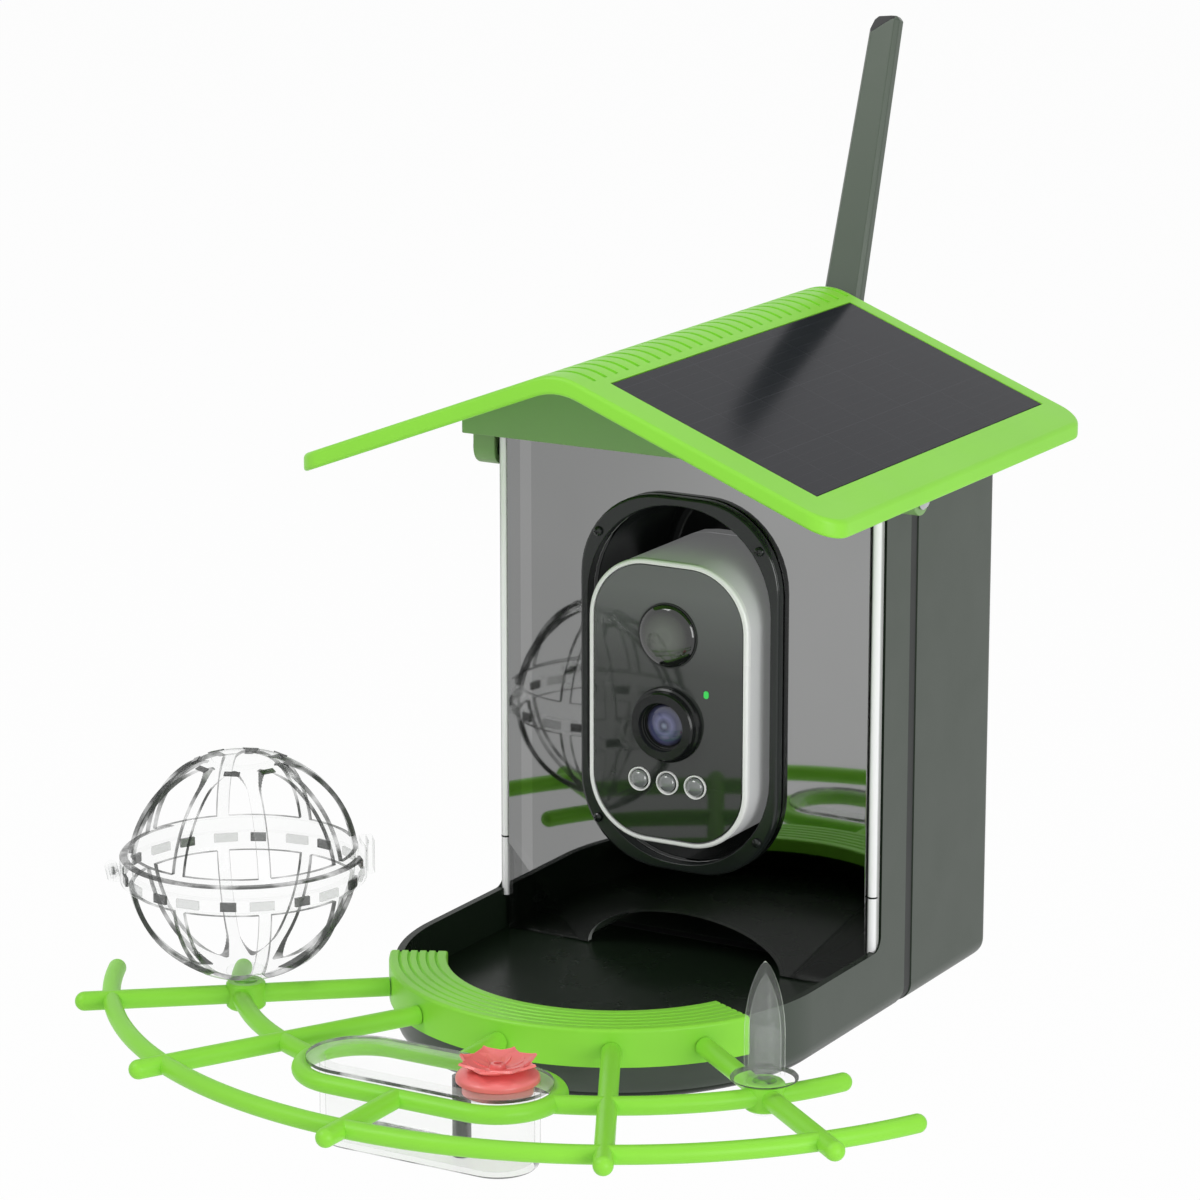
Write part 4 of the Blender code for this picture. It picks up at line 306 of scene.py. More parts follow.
class Socket:
    """A node's output that can stand in sums."""

    __add__ = __radd__ = operator("ADD")
    __mul__ = operator("MULTIPLY")
    __sub__ = operator("SUBTRACT")
    __truediv__ = operator("DIVIDE")
    __gt__ = operator("GREATER_THAN")
    __lt__ = operator("LESS_THAN")

    def __init__(self, look, output):
        self.look = look
        self.output = output

    def sum(self, operation, *values):
        return self.look.node("Math", dict(enumerate(values)), operation=operation)

    def clamped(self):
        return self.look.node("Clamp", {0: self})


class Look:
    """A material in the making, or the world's shading."""

    def __init__(self, name, world=None):
        self.material = world or bpy.data.materials.new(name)
        self.material.use_nodes = True
        self.tree = self.material.node_tree
        self.tree.nodes.clear()
        self.place = self.node("TexCoord", {}, "Object")

    def node(self, kind, inputs, output=0, **settings):
        """One node with the values or links of its sockets and its settings; gives one output."""
        made = self.tree.nodes.new("ShaderNode" + kind)
        for key, value in settings.items():
            setattr(made, key, value)
        for key, value in inputs.items():
            if isinstance(value, Socket):
                self.tree.links.new(value.output, made.inputs[key])
            elif isinstance(value, tuple) and len(value) == 3 and len(made.inputs[key].default_value) == 4:
                made.inputs[key].default_value = (*value, 1)
            else:
                made.inputs[key].default_value = value
        return Socket(self, made.outputs[output])

    def noise(self, scale, detail):
        inputs = {"Vector": self.place, "Scale": scale, "Detail": detail}
        return self.node("TexNoise", inputs, "Fac")

    def mixed(self, factor, one, other):
        """The first colour where the factor is 0 and the other where it is 1."""
        return self.node("Mix", {0: factor, 6: one, 7: other}, 2, data_type="RGBA")

    def axis(self, name, place=None):
        return self.node("SeparateXYZ", {0: place or self.place}, name)

    def ramp(self, factor, *stops):
        """Colours between stops, each a position and its colour."""
        shade = self.node("ValToRGB", {0: factor})
        marks = shade.output.node.color_ramp.elements
        while len(marks) < len(stops):
            marks.new(1)
        for mark, (position, colour) in zip(marks, stops):
            mark.position, mark.color = position, (*colour, 1)
        return shade

    def bump(self, height, distance, strength):
        inputs = {"Height": height, "Distance": distance, "Strength": strength}
        return self.node("Bump", inputs)

    def done(self, **inputs):
        """Ends the material in a Principled shader whose sockets are named with underscores."""
        names = {key.replace("_", " "): value for key, value in inputs.items()}
        return self.ended(self.node("BsdfPrincipled", names))

    def ended(self, shader, kind="Material"):
        output = self.tree.nodes.new("ShaderNodeOutput" + kind)
        self.tree.links.new(shader.output, output.inputs["Surface"])
        return self.material

    def seen(self):
        """1 for what the camera, gloss or clear plastic sees, and 0 for light that falls on others."""
        seen = self.node("LightPath", {}, "Is Camera Ray")
        for name in ("Is Glossy Ray", "Is Transmission Ray"):
            seen = seen.sum("MAXIMUM", seen, self.node("LightPath", {}, name))
        return seen


def scaled(colour, share):
    """A darker or lighter colour."""
    return tuple(min(1, channel * share) for channel in colour)


def moulded(name, colour, roughness, mottle=0.05, grain=0.00003, coat=0, shine=0.5, painted_glow=0):
    """Moulded plastic: a faint flow mottle, fine grain and rubbed places that shine more; painted_glow adds a
    painted glow, though the piece is no lamp.
    """
    look = Look(name)
    flow = look.noise(28, 3)
    cloud = look.noise(9, 2)
    shade = look.mixed(flow, scaled(colour, 1 - mottle), scaled(colour, 1 + mottle))
    rubbed = look.noise(55, 4)
    grains = look.noise(1500, 2)
    normal = look.bump(grains, grain, 0.35)
    return look.done(
        Base_Color=shade, Roughness=roughness + (rubbed - 0.5) * 0.14 + (cloud - 0.5) * 0.08,
        Normal=normal, Coat_Weight=coat, Coat_Roughness=0.06, Specular_IOR_Level=shine,
        Emission_Color=shade, Emission_Strength=painted_glow,
    )


def clear(name, body, outline, start, end, tint=(0.93, 0.96, 0.96), dark=(0.006, 0.008, 0.008)):
    """Clear moulding: see-through face on, with a dark outline where it turns edgewise."""
    look = Look(name)
    facing = look.node("LayerWeight", {"Blend": 0.5}, "Facing")
    swirl = look.noise(60, 3)
    rim = ((facing + (swirl - 0.5) * 0.12 - start) / (end - start)).clamped()
    ripple = look.bump(swirl, 0.0002, 0.25)
    shade = look.mixed(rim, tint, dark)
    return look.done(
        Base_Color=shade, Roughness=0.04 + swirl * 0.04, Normal=ripple,
        Alpha=body + swirl * 0.02 + rim * outline, Specular_IOR_Level=0.8,
    )


def camera_gloss():
    """Black glass over the camera's face, with a painted reflection that makes it lighter towards its top."""
    look = Look("camera_face")
    haze = look.noise(24, 3)
    height = (look.axis("Z") - (CAMERA_Z - SOCKET_HEIGHT - 0.049)) / 0.098 + (haze - 0.5) * 0.06
    # painted reflection: near black at the foot of the face, lightening to grey at its top
    shade = look.ramp(height, (0.0, (0.010, 0.014, 0.010)), (0.35, (0.020, 0.024, 0.021)),
                      (0.62, (0.034, 0.038, 0.035)), (0.9, (0.105, 0.113, 0.110)))
    return look.done(Base_Color=shade, Roughness=0.03 + haze * 0.03, Coat_Weight=0.2, Coat_Roughness=0.02)


def cut_edges():
    """The thin cut edges of a clear moulding, dark where they bend the light away."""
    look = Look("cut_edges")
    break_up = look.noise(90, 3)
    dark = look.ramp(break_up, (0.34, (0.30, 0.30, 0.30)), (0.56, (1, 1, 1)))
    shade = look.mixed(break_up, (0.010, 0.012, 0.011), (0.05, 0.055, 0.052))
    return look.done(Base_Color=shade, Roughness=0.10 + break_up * 0.06, Alpha=dark * 0.92)


def ringed(name, height, *stops):
    """Gloss whose colour changes with the distance from a camera opening's middle; the stops hold painted
    shade and highlights as well as own colours.
    """
    look = Look(name)
    flat = look.node("VectorMath", {0: look.place, 1: (1, 0, 1)}, operation="MULTIPLY")
    middle = (0, 0, height - SOCKET_HEIGHT)
    away = look.node("VectorMath", {0: flat, 1: middle}, "Value", operation="DISTANCE")
    speck = look.noise(900, 3)
    share = away / stops[-1][0] + (speck - 0.5) * 0.03
    shade = look.ramp(share, *[(radius / stops[-1][0], colour) for radius, colour in stops])
    return look.done(Base_Color=shade, Roughness=0.06 + speck * 0.05, Coat_Weight=0.6, Coat_Roughness=0.03)


def metal(name, colour, roughness):
    """Bare metal with fine drawn lines."""
    look = Look(name)
    lines = look.noise(400, 3)
    return look.done(
        Base_Color=look.mixed(lines, scaled(colour, 0.85), colour), Metallic=1.0,
        Roughness=roughness + (lines - 0.5) * 0.15, Normal=look.bump(lines, 0.00002, 0.3),
    )


def solar_cells():
    """Dark cells with hair-thin gaps and busbars under clear glass."""
    look = Look("solar_cells")
    turn = look.node("Mapping", {"Vector": look.place, "Rotation": (0, -SLOPE, 0)})
    gaps = None
    for name, pitch, width in (("X", 0.0258, 0.00035), ("Y", 0.0278, 0.00035), ("X", 0.0043, 0.00012)):
        steps = look.axis(name, turn) / pitch
        away = steps.sum("PINGPONG", steps, 0.5)
        line = away < width / pitch / 2
        gaps = line.sum("MAXIMUM", gaps, line) if gaps else line
    crystal = look.noise(120, 5)
    cells = look.mixed(crystal, (0.010, 0.011, 0.016), (0.014, 0.015, 0.020))
    shade = look.mixed(gaps * 0.35, cells, (0.045, 0.047, 0.055))
    return look.done(
        Base_Color=shade, Roughness=0.12 + look.noise(30, 3) * 0.05, Specular_IOR_Level=0.06,
        Normal=look.bump(look.noise(700, 2), 0.00001, 0.3),
    )


def window_glass():
    """Tinted panel that mirrors what is in front of it, its tint lighter on the right half than on the left
    as a painted reflection, with a lighter upright stripe near its left edge; the hopper's ramps show in its
    lower corners.
    """
    look = Look("tinted_panel")
    band = look.axis("X")
    stripe = band.sum("COMPARE", band, -0.062, 0.0022)
    haze = look.noise(14, 3)
    # painted reflection: the right half of the mirror tint is lighter than the left
    left = look.mixed(haze, (0.235, 0.238, 0.236), (0.270, 0.273, 0.271))
    right = look.mixed(haze, (0.290, 0.293, 0.291), (0.330, 0.333, 0.331))
    shade = look.mixed(((band + 0.045) / 0.075).clamped(), left, right)
    shade = look.mixed(stripe * 0.35, shade, (0.40, 0.40, 0.40))
    out = band.sum("ABSOLUTE", band) - 0.041
    rise = look.axis("Z") - (0.0115 - SOCKET_HEIGHT)
    ramp = (out - rise * 0.92 > 0) * (rise < 0.0335)
    return look.done(
        Base_Color=shade, Metallic=1, Roughness=0.02 + haze * 0.02,
        Alpha=0.90 + haze * 0.04 - ramp * 0.42,
        Normal=look.bump(look.noise(7, 1), 0.0004, 0.06),
    )


LIME = moulded("lime_roof_and_perch", (0.262, 0.70, 0.050), 0.40, shine=0.28)
# painted shade: the gable frame is the lid's lime plastic, painted darker for the shade under the lid
GABLE_LIME_PAINTED_SHADE = moulded("gable_lime_painted_shade", (0.205, 0.375, 0.130), 0.45)
GREEN = moulded("dark_green_housing", (0.042, 0.056, 0.042), 0.36, shine=0.35)
BLACK = moulded("black_collar", (0.012, 0.015, 0.014), 0.18, shine=0.38)
LENS_BLACK = moulded("lens_black", (0.007, 0.008, 0.008), 0.20, shine=0.30)
# painted shade: a near-black copy of the housing's dark green for the inside of the tray
TRAY_PAINTED_SHADE = moulded("dark_green_tray_painted_shade", (0.009, 0.015, 0.009), 0.26, shine=0.07)
RUBBER = moulded("black_rubber", (0.016, 0.018, 0.017), 0.6, 0.1, 0.00006)
# painted light: the camera body glows faintly, though it is no lamp, so that its shaded sides read as lit
BODY = moulded("camera_body", (0.52, 0.525, 0.53), 0.36, painted_glow=0.20)
WHITE = moulded("camera_rim", (0.82, 0.82, 0.82), 0.25, 0.015)
CAMERA_FACE_PAINTED_REFLECTION = camera_gloss()
BOARD = moulded("circuit_board", (0.02, 0.15, 0.06), 0.5)
CELL = moulded("cell_wrap", (0.05, 0.14, 0.38), 0.35)
CORAL = moulded("coral_flower", (0.84, 0.175, 0.17), 0.38, 0.08, coat=0.2)
STEEL = metal("steel", (0.55, 0.56, 0.57), 0.28)
BRASS = metal("brass", (0.78, 0.56, 0.26), 0.3)
CELLS = solar_cells()
MIRROR_PANEL_PAINTED_REFLECTION = window_glass()
CLEAR = clear("clear_plastic", 0.03, 0.97, 0.80, 0.975)
THICK = clear("thick_clear_plastic", 0.035, 0.95, 0.80, 0.965)
# painted sheen: a pale, partly opaque finish for level faces, for the light that they mirror
LEVEL_FACE_PAINTED_SHEEN = clear("clear_level_faces_painted_sheen", 0.20, 0.25, 0.93, 1.0, (0.86, 0.90, 0.86))
# painted highlight: its edgewise outline is pale grey, not dark, for the bright streaks that light makes in
# the clear spike
CLEAR_PAINTED_HIGHLIGHT = clear("clear_plastic_painted_highlight", 0.04, 0.85, 0.76, 0.96, (0.90, 0.93, 0.91), (0.86, 0.89, 0.87))
# painted highlight: the strips are near white and almost opaque face on, for the light running down their
# polished rounded edges
STRIP_PAINTED_HIGHLIGHT = clear("clear_strip", 0.88, 0.10, 0.30, 0.55, (0.96, 0.96, 0.97), (0.42, 0.43, 0.42))
# the rings are the coloured lens elements behind the glass; the lightest blue at the very middle is a painted
# highlight
LENS_RINGS_AND_PAINTED_HIGHLIGHT = ringed("coated_lens", LENS_Z, (0.0003, (0.20, 0.23, 0.33)), (0.0014, (0.030, 0.035, 0.085)),
              (0.0030, (0.12, 0.125, 0.26)), (0.0046, (0.035, 0.040, 0.12)), (0.0059, (0.075, 0.078, 0.16)),
              (0.0074, (0.010, 0.010, 0.018)))
LED = moulded("green_light", (0.05, 0.75, 0.12), 0.3)
# painted shade and highlight: the sensor dome's olive grey is lighter in its middle and darkens to near black
# at its rim
SENSOR_DOME_PAINTED_SHADE = ringed("sensor_olive_painted_shade", SENSOR_Z, (0.0030, (0.095, 0.105, 0.090)), (0.0070, (0.045, 0.050, 0.042)),
               (0.0088, (0.010, 0.011, 0.010)), (0.0108, (0.006, 0.007, 0.007)))
BEAD = moulded("lamp_bead", (0.16, 0.17, 0.17), 0.04, coat=1.0, grain=0.000002)
PADDLE = moulded("antenna_green", (0.068, 0.090, 0.066), 0.34, shine=0.35)
SMOKED = clear("smoked_edges", 0.70, 0.3, 0.5, 0.9, (0.025, 0.028, 0.026))
FROSTED = clear("frosted_patches", 0.22, 0.3, 0.6, 0.95, (0.42, 0.44, 0.43))
EDGE = cut_edges()
# painted highlight for the polished cut edge of the panel's arched mouth
ARCH_EDGE_PAINTED_HIGHLIGHT = moulded("panel_arch_edge_painted_highlight", (0.42, 0.44, 0.42), 0.2)

SLOT_FINISH = {
    "dark_green": GREEN, "lime_green": LIME, "sage_green": GABLE_LIME_PAINTED_SHADE, "black": BLACK, "rubber": RUBBER,
    "tinted_clear": MIRROR_PANEL_PAINTED_REFLECTION, "clear": CLEAR, "camera_body": BODY, "camera_gloss": CAMERA_FACE_PAINTED_REFLECTION, "lens": LENS_RINGS_AND_PAINTED_HIGHLIGHT,
    "led": LED, "solar": CELLS, "steel": STEEL, "brass": BRASS, "board": BOARD, "cell": CELL,
    "coral": CORAL,
}

# CAD nodes that stay in view get the finish of their slot
for part in frame["record"]["subparts"]:
    node = frame["nodes"][part["node"]]
    node.data.materials.clear()
    node.data.materials.append(SLOT_FINISH[part["material_slot"]])

# Housing


def tray_plan(inset, back):
    """The tray's D with the straight walls behind it, drawn inwards by the inset."""
    half = HALF_WIDTH - inset
    return [(-half, back), *ring_points((0, TRAY_Y), half, 180, 360, 80), (half, back)]


def bevelled(bm, width, chosen, segments):
    """Rounds the edges whose ends both pass the test."""
    edges = [edge for edge in bm.edges if all(chosen(vert.co) for vert in edge.verts)]
    bmesh.ops.bevel(
        bm, geom=edges, offset=width, segments=segments, profile=0.5, material=-1,
        affect="EDGES", clamp_overlap=True,
    )
    return bm


def outside_tray(place, normal):
    """True on the outer faces of the tray and of the walls above it."""
    reach = Vector((place.x, min(0, place.y - TRAY_Y)))
    return reach.length > HALF_WIDTH - 0.0008 and reach.dot(normal.xy) > 0


def make_tray():
    """The D-shaped tray with its walls, the landing ring's seat, the strips' grooves and the ears' bosses."""
    foot_round, corner_round, front = 0.007, 0.005, -0.22
    body = slab(tray_plan(0, SEAM_Y), 0, HEIGHT)
    bevelled(body, foot_round, lambda co: co.z < GAP and co.y < SEAM_Y + GAP, 6)
    middle = (WALL_EDGE_Y - corner_round, TRAY_RIM + corner_round)
    corner = ring_points(middle, corner_round, 270, 360, 10)
    above = [(front, TRAY_RIM), *corner, (WALL_EDGE_Y, ABOVE_ALL), (front, ABOVE_ALL)]
    first, last = 270 - 64.2, 270 + 64.2
    seat = ring_points((0, TRAY_Y), HALF_WIDTH + 0.004, first, last, 80)
    seat += ring_points((0, TRAY_Y), HALF_WIDTH - 0.006, last, first, 80)
    cuts = [
        slab(tray_plan(WALL, SEAM_Y + 0.004), FLOOR_TOP, ABOVE_ALL),
        slab(tray_plan(0.010, SEAM_Y - 0.003), -0.004, FLOOR_TOP - WALL),
        slab(above, -BESIDE_ALL, BESIDE_ALL, "X"),
        slab(seat, TRAY_RIM - RING_SKIN, 0.04),
    ]
    adds = []
    for side in (-1, 1):
        low, high = sorted((side * 0.067, side * 0.0734))
        cuts.append(block((low, WINDOW_Y - GAP, 0.0227), (high, WALL_EDGE_Y, ABOVE_ALL)))
        start, end = (side * (HALF_WIDTH - WALL / 2), HINGE_Y, HINGE_Z), (side * 0.0755, HINGE_Y, HINGE_Z)
        adds.append(bar(start, end, 0.004, 32))
    made = softened(carved(loose("seed_tray_and_walls", body), cuts, adds), 0.0005)
    # painted shade: the tray and the inner faces of its walls take the near-black copy, and only the outer
    # faces keep the housing's own green
    tray = placed(made, "housing", TRAY_PAINTED_SHADE, "dark_green", "front_body")
    edged(tray, GREEN, outside_tray)


def make_rear():
    """The open-topped rear shell with holes for the insert, the aerial's barrel and four screws."""
    soft = 0.007
    left = [(-HALF_WIDTH, HEIGHT), *ring_points((soft - HALF_WIDTH, soft), soft, 180, 270, 10)]
    shell = slab(left + [(-x, z) for x, z in reversed(left)], -REAR_DEPTH, 0, "Y")
    bevelled(shell, 0.0045, lambda co: co.y > -GAP, 6)
    foot_round, front = 0.012, -0.07
    lower = ring_points((-foot_round, foot_round), foot_round, 270, 360, 12)
    profile = [(front, 0), *lower, (0, ABOVE_ALL), (front, ABOVE_ALL)]
    inner, outside = HALF_WIDTH - WALL, 0.004
    cuts = [
        block((-inner, front, FLOOR_TOP), (inner, -WALL, ABOVE_ALL)),
        block((-0.0639, -0.0575, -outside), (0.0639, -0.015, FLOOR_TOP - WALL)),
        bar((0, outside, SOCKET_HEIGHT), (0, -0.010, SOCKET_HEIGHT), 0.0043, 40),
        bar((0, outside, ANTENNA_HEIGHT), (0, -0.006, ANTENNA_HEIGHT), 0.0035, 40),
    ]
    for z in (0.0175, 0.178):
        cuts += [bar((x, -0.0505, z), (x, outside, z), 0.0028) for x in (-0.0683, 0.0683)]
    made = carved(loose("rear_shell", shell), cuts, keeps=[slab(profile, -BESIDE_ALL, BESIDE_ALL, "X")])
    placed(softened(made, 0.0004), "housing", GREEN, "dark_green", "rear_housing")


MOUTH = rounded(0.070, 0.1244, 0.034, (0, BAY_Z))
COLLAR = rounded(0.076, 0.1304, 0.030, (0, BAY_Z))
COLLAR_FRONT = -0.092
COLLAR_SCREWS = [(x, z) for z in (0.0586, 0.1592) for x in (-0.0308, 0.0308)]


def make_window():
    """The tinted panel with its arched mouth at the foot, and the clear strips that trim its sides."""
    low, half = FLOOR_TOP + GAP, 0.0695
    arch_half, arch_rise = 0.0375, 0.0158
    arch = [(x, low + y * arch_rise / arch_half) for x, y in ring_points((0, 0), arch_half, 180, 0, 48)]
    outline = [(-half, low), *arch, (half, low), (half, HEIGHT), (-half, HEIGHT)]
    panel = slab(outline, WINDOW_Y, WINDOW_Y + 0.0025, "Y")
    made = carved(loose("tinted_panel", panel), [slab(MOUTH, -0.1, -0.07, "Y")])
    panel = placed(softened(made, 0.0003), "housing", MIRROR_PANEL_PAINTED_REFLECTION, "tinted_clear", "window_panel")
    # painted highlight: the cut faces of the arched mouth are pale grey, for the light caught along their
    # polished edge
    edged(
        panel, ARCH_EDGE_PAINTED_HIGHLIGHT, lambda place, normal: abs(normal.y) < 0.8
        and abs(place.x) < arch_half + 0.0001 and 0.0005 < place.z - FLOOR_TOP < 0.0165,
    )
    nose, back = 0.00165, WINDOW_Y + 0.0033
    for word, side in (("left", -1), ("right", 1)):
        x, y = side * 0.07145, WINDOW_Y + nose
        front = ring_points((x, y), nose, 180, 360, 16)
        strip = slab([(x - nose, back), *front, (x + nose, back)], 0.023, HEIGHT)
        placed(loose(f"clear_strip_{word}", strip), "housing", STRIP_PAINTED_HIGHLIGHT, "clear", f"window_edge_{word}")
        seam = slab([*ring_points((x, y), nose + 0.00007, 170, 370, 16), (x, back)], 0.0440, 0.0446)
        placed(loose(f"strip_joint_{word}", seam), "housing", BLACK, "black")


def make_bay():
    """The collar, the deep tub behind it and the four cross-slotted screws."""
    ring = slab(COLLAR, COLLAR_FRONT, WINDOW_Y - GAP, "Y")
    bevelled(ring, 0.0012, lambda co: co.y < COLLAR_FRONT + 0.0001, 3)
    made = carved(loose("bay_collar", ring), [slab(MOUTH, -0.1, -0.07, "Y")])
    placed(softened(made, 0.0005, 3), "housing", BLACK, "black", "camera_collar")
    back, floor = -0.0325, -0.0341
    tub = slab(rounded(0.0732, 0.1276, 0.0356, (0, BAY_Z)), -0.0848, back, "Y")
    bevelled(tub, 0.004, lambda co: co.y > back - GAP, 4)
    room = slab(MOUTH, -0.095, floor, "Y")
    bevelled(room, 0.003, lambda co: co.y > floor - 0.0001, 4)
    placed(carved(loose("bay_tub", tub), [room]), "housing", BLACK, "black", "camera_bay")
    dome = [(0, 0.0014), (0.0008, 0.0013), (0.0015, 0.0008), (0.0017, 0.0002), (0.0017, 0), (0, 0)]
    for number, (x, z) in enumerate(COLLAR_SCREWS, 1):
        head = turned(dome, (x, COLLAR_FRONT - 0.0002, z), "-Y", 24)
        slots = []
        for wide, high in ((0.0010, 0.0002), (0.0002, 0.0010)):
            slots.append(block((x - wide, -0.0945, z - high), (x + wide, -0.0931, z + high)))
        made = carved(loose(f"collar_screw_head_{number}", head), slots)
        placed(made, "housing", BLACK, "steel", f"collar_screw_{number}")


# Landing ring and perch

SPOKES = [radians(turn) for turn in (-51.5, -28.5, 0, 28.5, 51.5)]
SPAN = radians(64)
SOCKET_REACH = 0.1239


def at(reach, angle, height=PERCH_HEIGHT):
    """A point at this reach from the tray's centre; the angle runs from the front towards +X."""
    return (reach * sin(angle), TRAY_Y - reach * cos(angle), height)


def make_ring():
    """The grooved landing ring, a profile spun through its span."""
    outer, inner, foot = 0.0760, 0.0566, 0.013
    under = RING_TOP - RING_SKIN
    outer_soft, inner_soft, lip, pitch = 0.0012, 0.0008, 0.0018, 0.00305
    groove = ((0.00055, 0), (0.00028, 0.00045), (0, 0.00062), (-0.00028, 0.00045), (-0.00055, 0))
    profile = [(outer, foot), *ring_points((outer - outer_soft, RING_TOP - outer_soft), outer_soft, 0, 90, 5)]
    for number in range(1, 6):
        middle = outer - 0.0005 - number * pitch
        profile += [(middle + across, RING_TOP - drop) for across, drop in groove]
    profile += ring_points((inner + inner_soft, RING_TOP - inner_soft), inner_soft, 90, 180, 4)
    profile += [(inner, under - 0.003), (inner + lip, under - 0.003), (inner + lip, under)]
    profile += [(HALF_WIDTH + GAP, under), (HALF_WIDTH + GAP, foot)]
    bm = bmesh.new()
    bm.faces.new([bm.verts.new((radius, 0, height)) for radius, height in profile])
    swept(bm, 2 * SPAN, 110)
    moved(bm, Matrix.Translation((0, TRAY_Y, 0)) @ upright(radians(-90) - SPAN))
    ring = loose("grooved_landing_ring", outward(bm))
    placed(ring, "housing", LIME, "lime_green", "landing_ring", smooth=28)


def make_perch():
    """Two arcs, five spokes, the oval holder and two sockets, all of round rod."""
    rod, spoke, tube = 0.00305, 0.0032, 0.0030
    outer, inner, spoke_start, spoke_end = 0.168, 0.1257, 0.0763, 0.1770
    tray = (0, TRAY_Y, PERCH_HEIGHT)
    reach = SPAN - (rod + 0.0003) / outer
    shells = [bent_bar(tray, outer, rod, -reach, reach, 96)]
    shells += [ball(at(outer, turn), rod) for turn in (-reach, reach)]
    begin = asin((HOLDER_HALF + HOLDER_RADIUS) / inner)
    for side in (-1, 1):
        shells.append(bent_bar(tray, inner, rod, side * begin, side * SPAN, 32))
        shells.append(ball(at(inner, side * SPAN), rod))
    for turn in SPOKES:
        end = at(spoke_end, turn)
        if turn:
            shells.append(bar(at(spoke_start, turn), end, spoke))
        else:
            shells.append(bar(at(spoke_start, 0), (0, HOLDER_Y + HOLDER_RADIUS, PERCH_HEIGHT), spoke))
            shells.append(bar((0, HOLDER_Y - HOLDER_RADIUS, PERCH_HEIGHT), end, spoke))
        shells.append(ball(end, spoke))
    socket = [(0.0039, 0.0045), (0.0058, 0.0045), (0.0065, 0.0038)]
    socket += [(radius, -height) for radius, height in reversed(socket)]
    for side in (-1, 1):
        centre = (side * HOLDER_HALF, HOLDER_Y, PERCH_HEIGHT)
        turn = 0 if side > 0 else pi
        shells.append(bent_bar(centre, HOLDER_RADIUS, tube, turn, turn + pi, 32))
        y = HOLDER_Y + side * HOLDER_RADIUS
        shells.append(bar((-HOLDER_HALF, y, PERCH_HEIGHT), (HOLDER_HALF, y, PERCH_HEIGHT), tube, 20))
        shells.append(turned(socket, at(SOCKET_REACH, side * SPOKES[-1]), steps=40))
    placed(loose("perch_rods", joined(*shells)), "housing", LIME, "lime_green", "perch_frame")


# Roof

APEX = 0.2308
ROOF_HALF = 0.100
ROOF_FRONT, ROOF_REAR = -0.1735, 0.016
RIDGE_HALF = 0.008


def roof_height(x, drop=0):
    """The lid's top at this distance from the ridge, rounded over it, or a face this far below."""
    x, fall = abs(x), tan(SLOPE)
    if x >= RIDGE_HALF:
        return APEX - drop - x * fall
    return APEX - drop - (x * x + RIDGE_HALF ** 2) / (2 * RIDGE_HALF) * fall


def roof_line(half, drop):
    """The lid's section from edge to edge, or one that runs this far below it."""
    middle = [RIDGE_HALF * step / 6 for step in range(-6, 7)]
    return [(x, roof_height(x, drop)) for x in (-half, *middle, half)]


def panel_block(grow, low, high):
    """A block let into the right slope where the solar panel lies."""
    half_width, half_length, from_ridge, middle_y = 0.0395, 0.0835, 0.0137, -0.07575
    across = (from_ridge + half_width) * cos(SLOPE)
    wide, long = half_width + grow, half_length + grow
    middle = Matrix.Translation((across, middle_y, APEX - across * tan(SLOPE)))
    return moved(block((-wide, -long, low), (wide, long, high)), middle @ Matrix.Rotation(SLOPE, 4, "Y"))


def make_roof():
    """The lid with its rim, hollow underside, ridge grooves and the recess that the solar panel fills."""
    outline = roof_line(ROOF_HALF, 0) + list(reversed(roof_line(ROOF_HALF, 0.00611)))
    middle = (ROOF_FRONT + ROOF_REAR) / 2
    plan = rounded(2 * ROOF_HALF, ROOF_REAR - ROOF_FRONT, 0.010, (0, middle), 10)
    rim, below, above = 0.0035, 0.17, 0.24
    lid = slab(outline, ROOF_FRONT, ROOF_REAR, "Y")
    made = softened(carved(loose("roof_lid", lid), keeps=[slab(plan, below, above)]), 0.0014, 4)
    inner = ROOF_HALF - rim
    room = roof_line(inner, 0.003644) + [(inner, below), (-inner, below)]
    first, last, count = -0.1718, 0.0110, 26
    half, depth, width = 0.0095, 0.0008, 0.0019
    groove = [*roof_line(half, depth), (half, above), (-half, above)]
    starts = [first + (last - first) * number / count for number in range(1, count + 1)]
    cuts = [
        slab(room, ROOF_FRONT + rim, ROOF_REAR - rim, "Y"),
        joined(*[slab(groove, start, start + width, "Y") for start in starts]),
        panel_block(GAP, -0.0018, 0.004),
    ]
    placed(softened(carved(made, cuts), 0.0003), "roof", LIME, "lime_green", "roof_shell")
    panel = bevelled(panel_block(0, -0.0015, -0.0001), 0.0003, lambda co: True, 2)
    placed(loose("solar_cells_panel", panel), "roof", CELLS, "solar", "solar_panel")


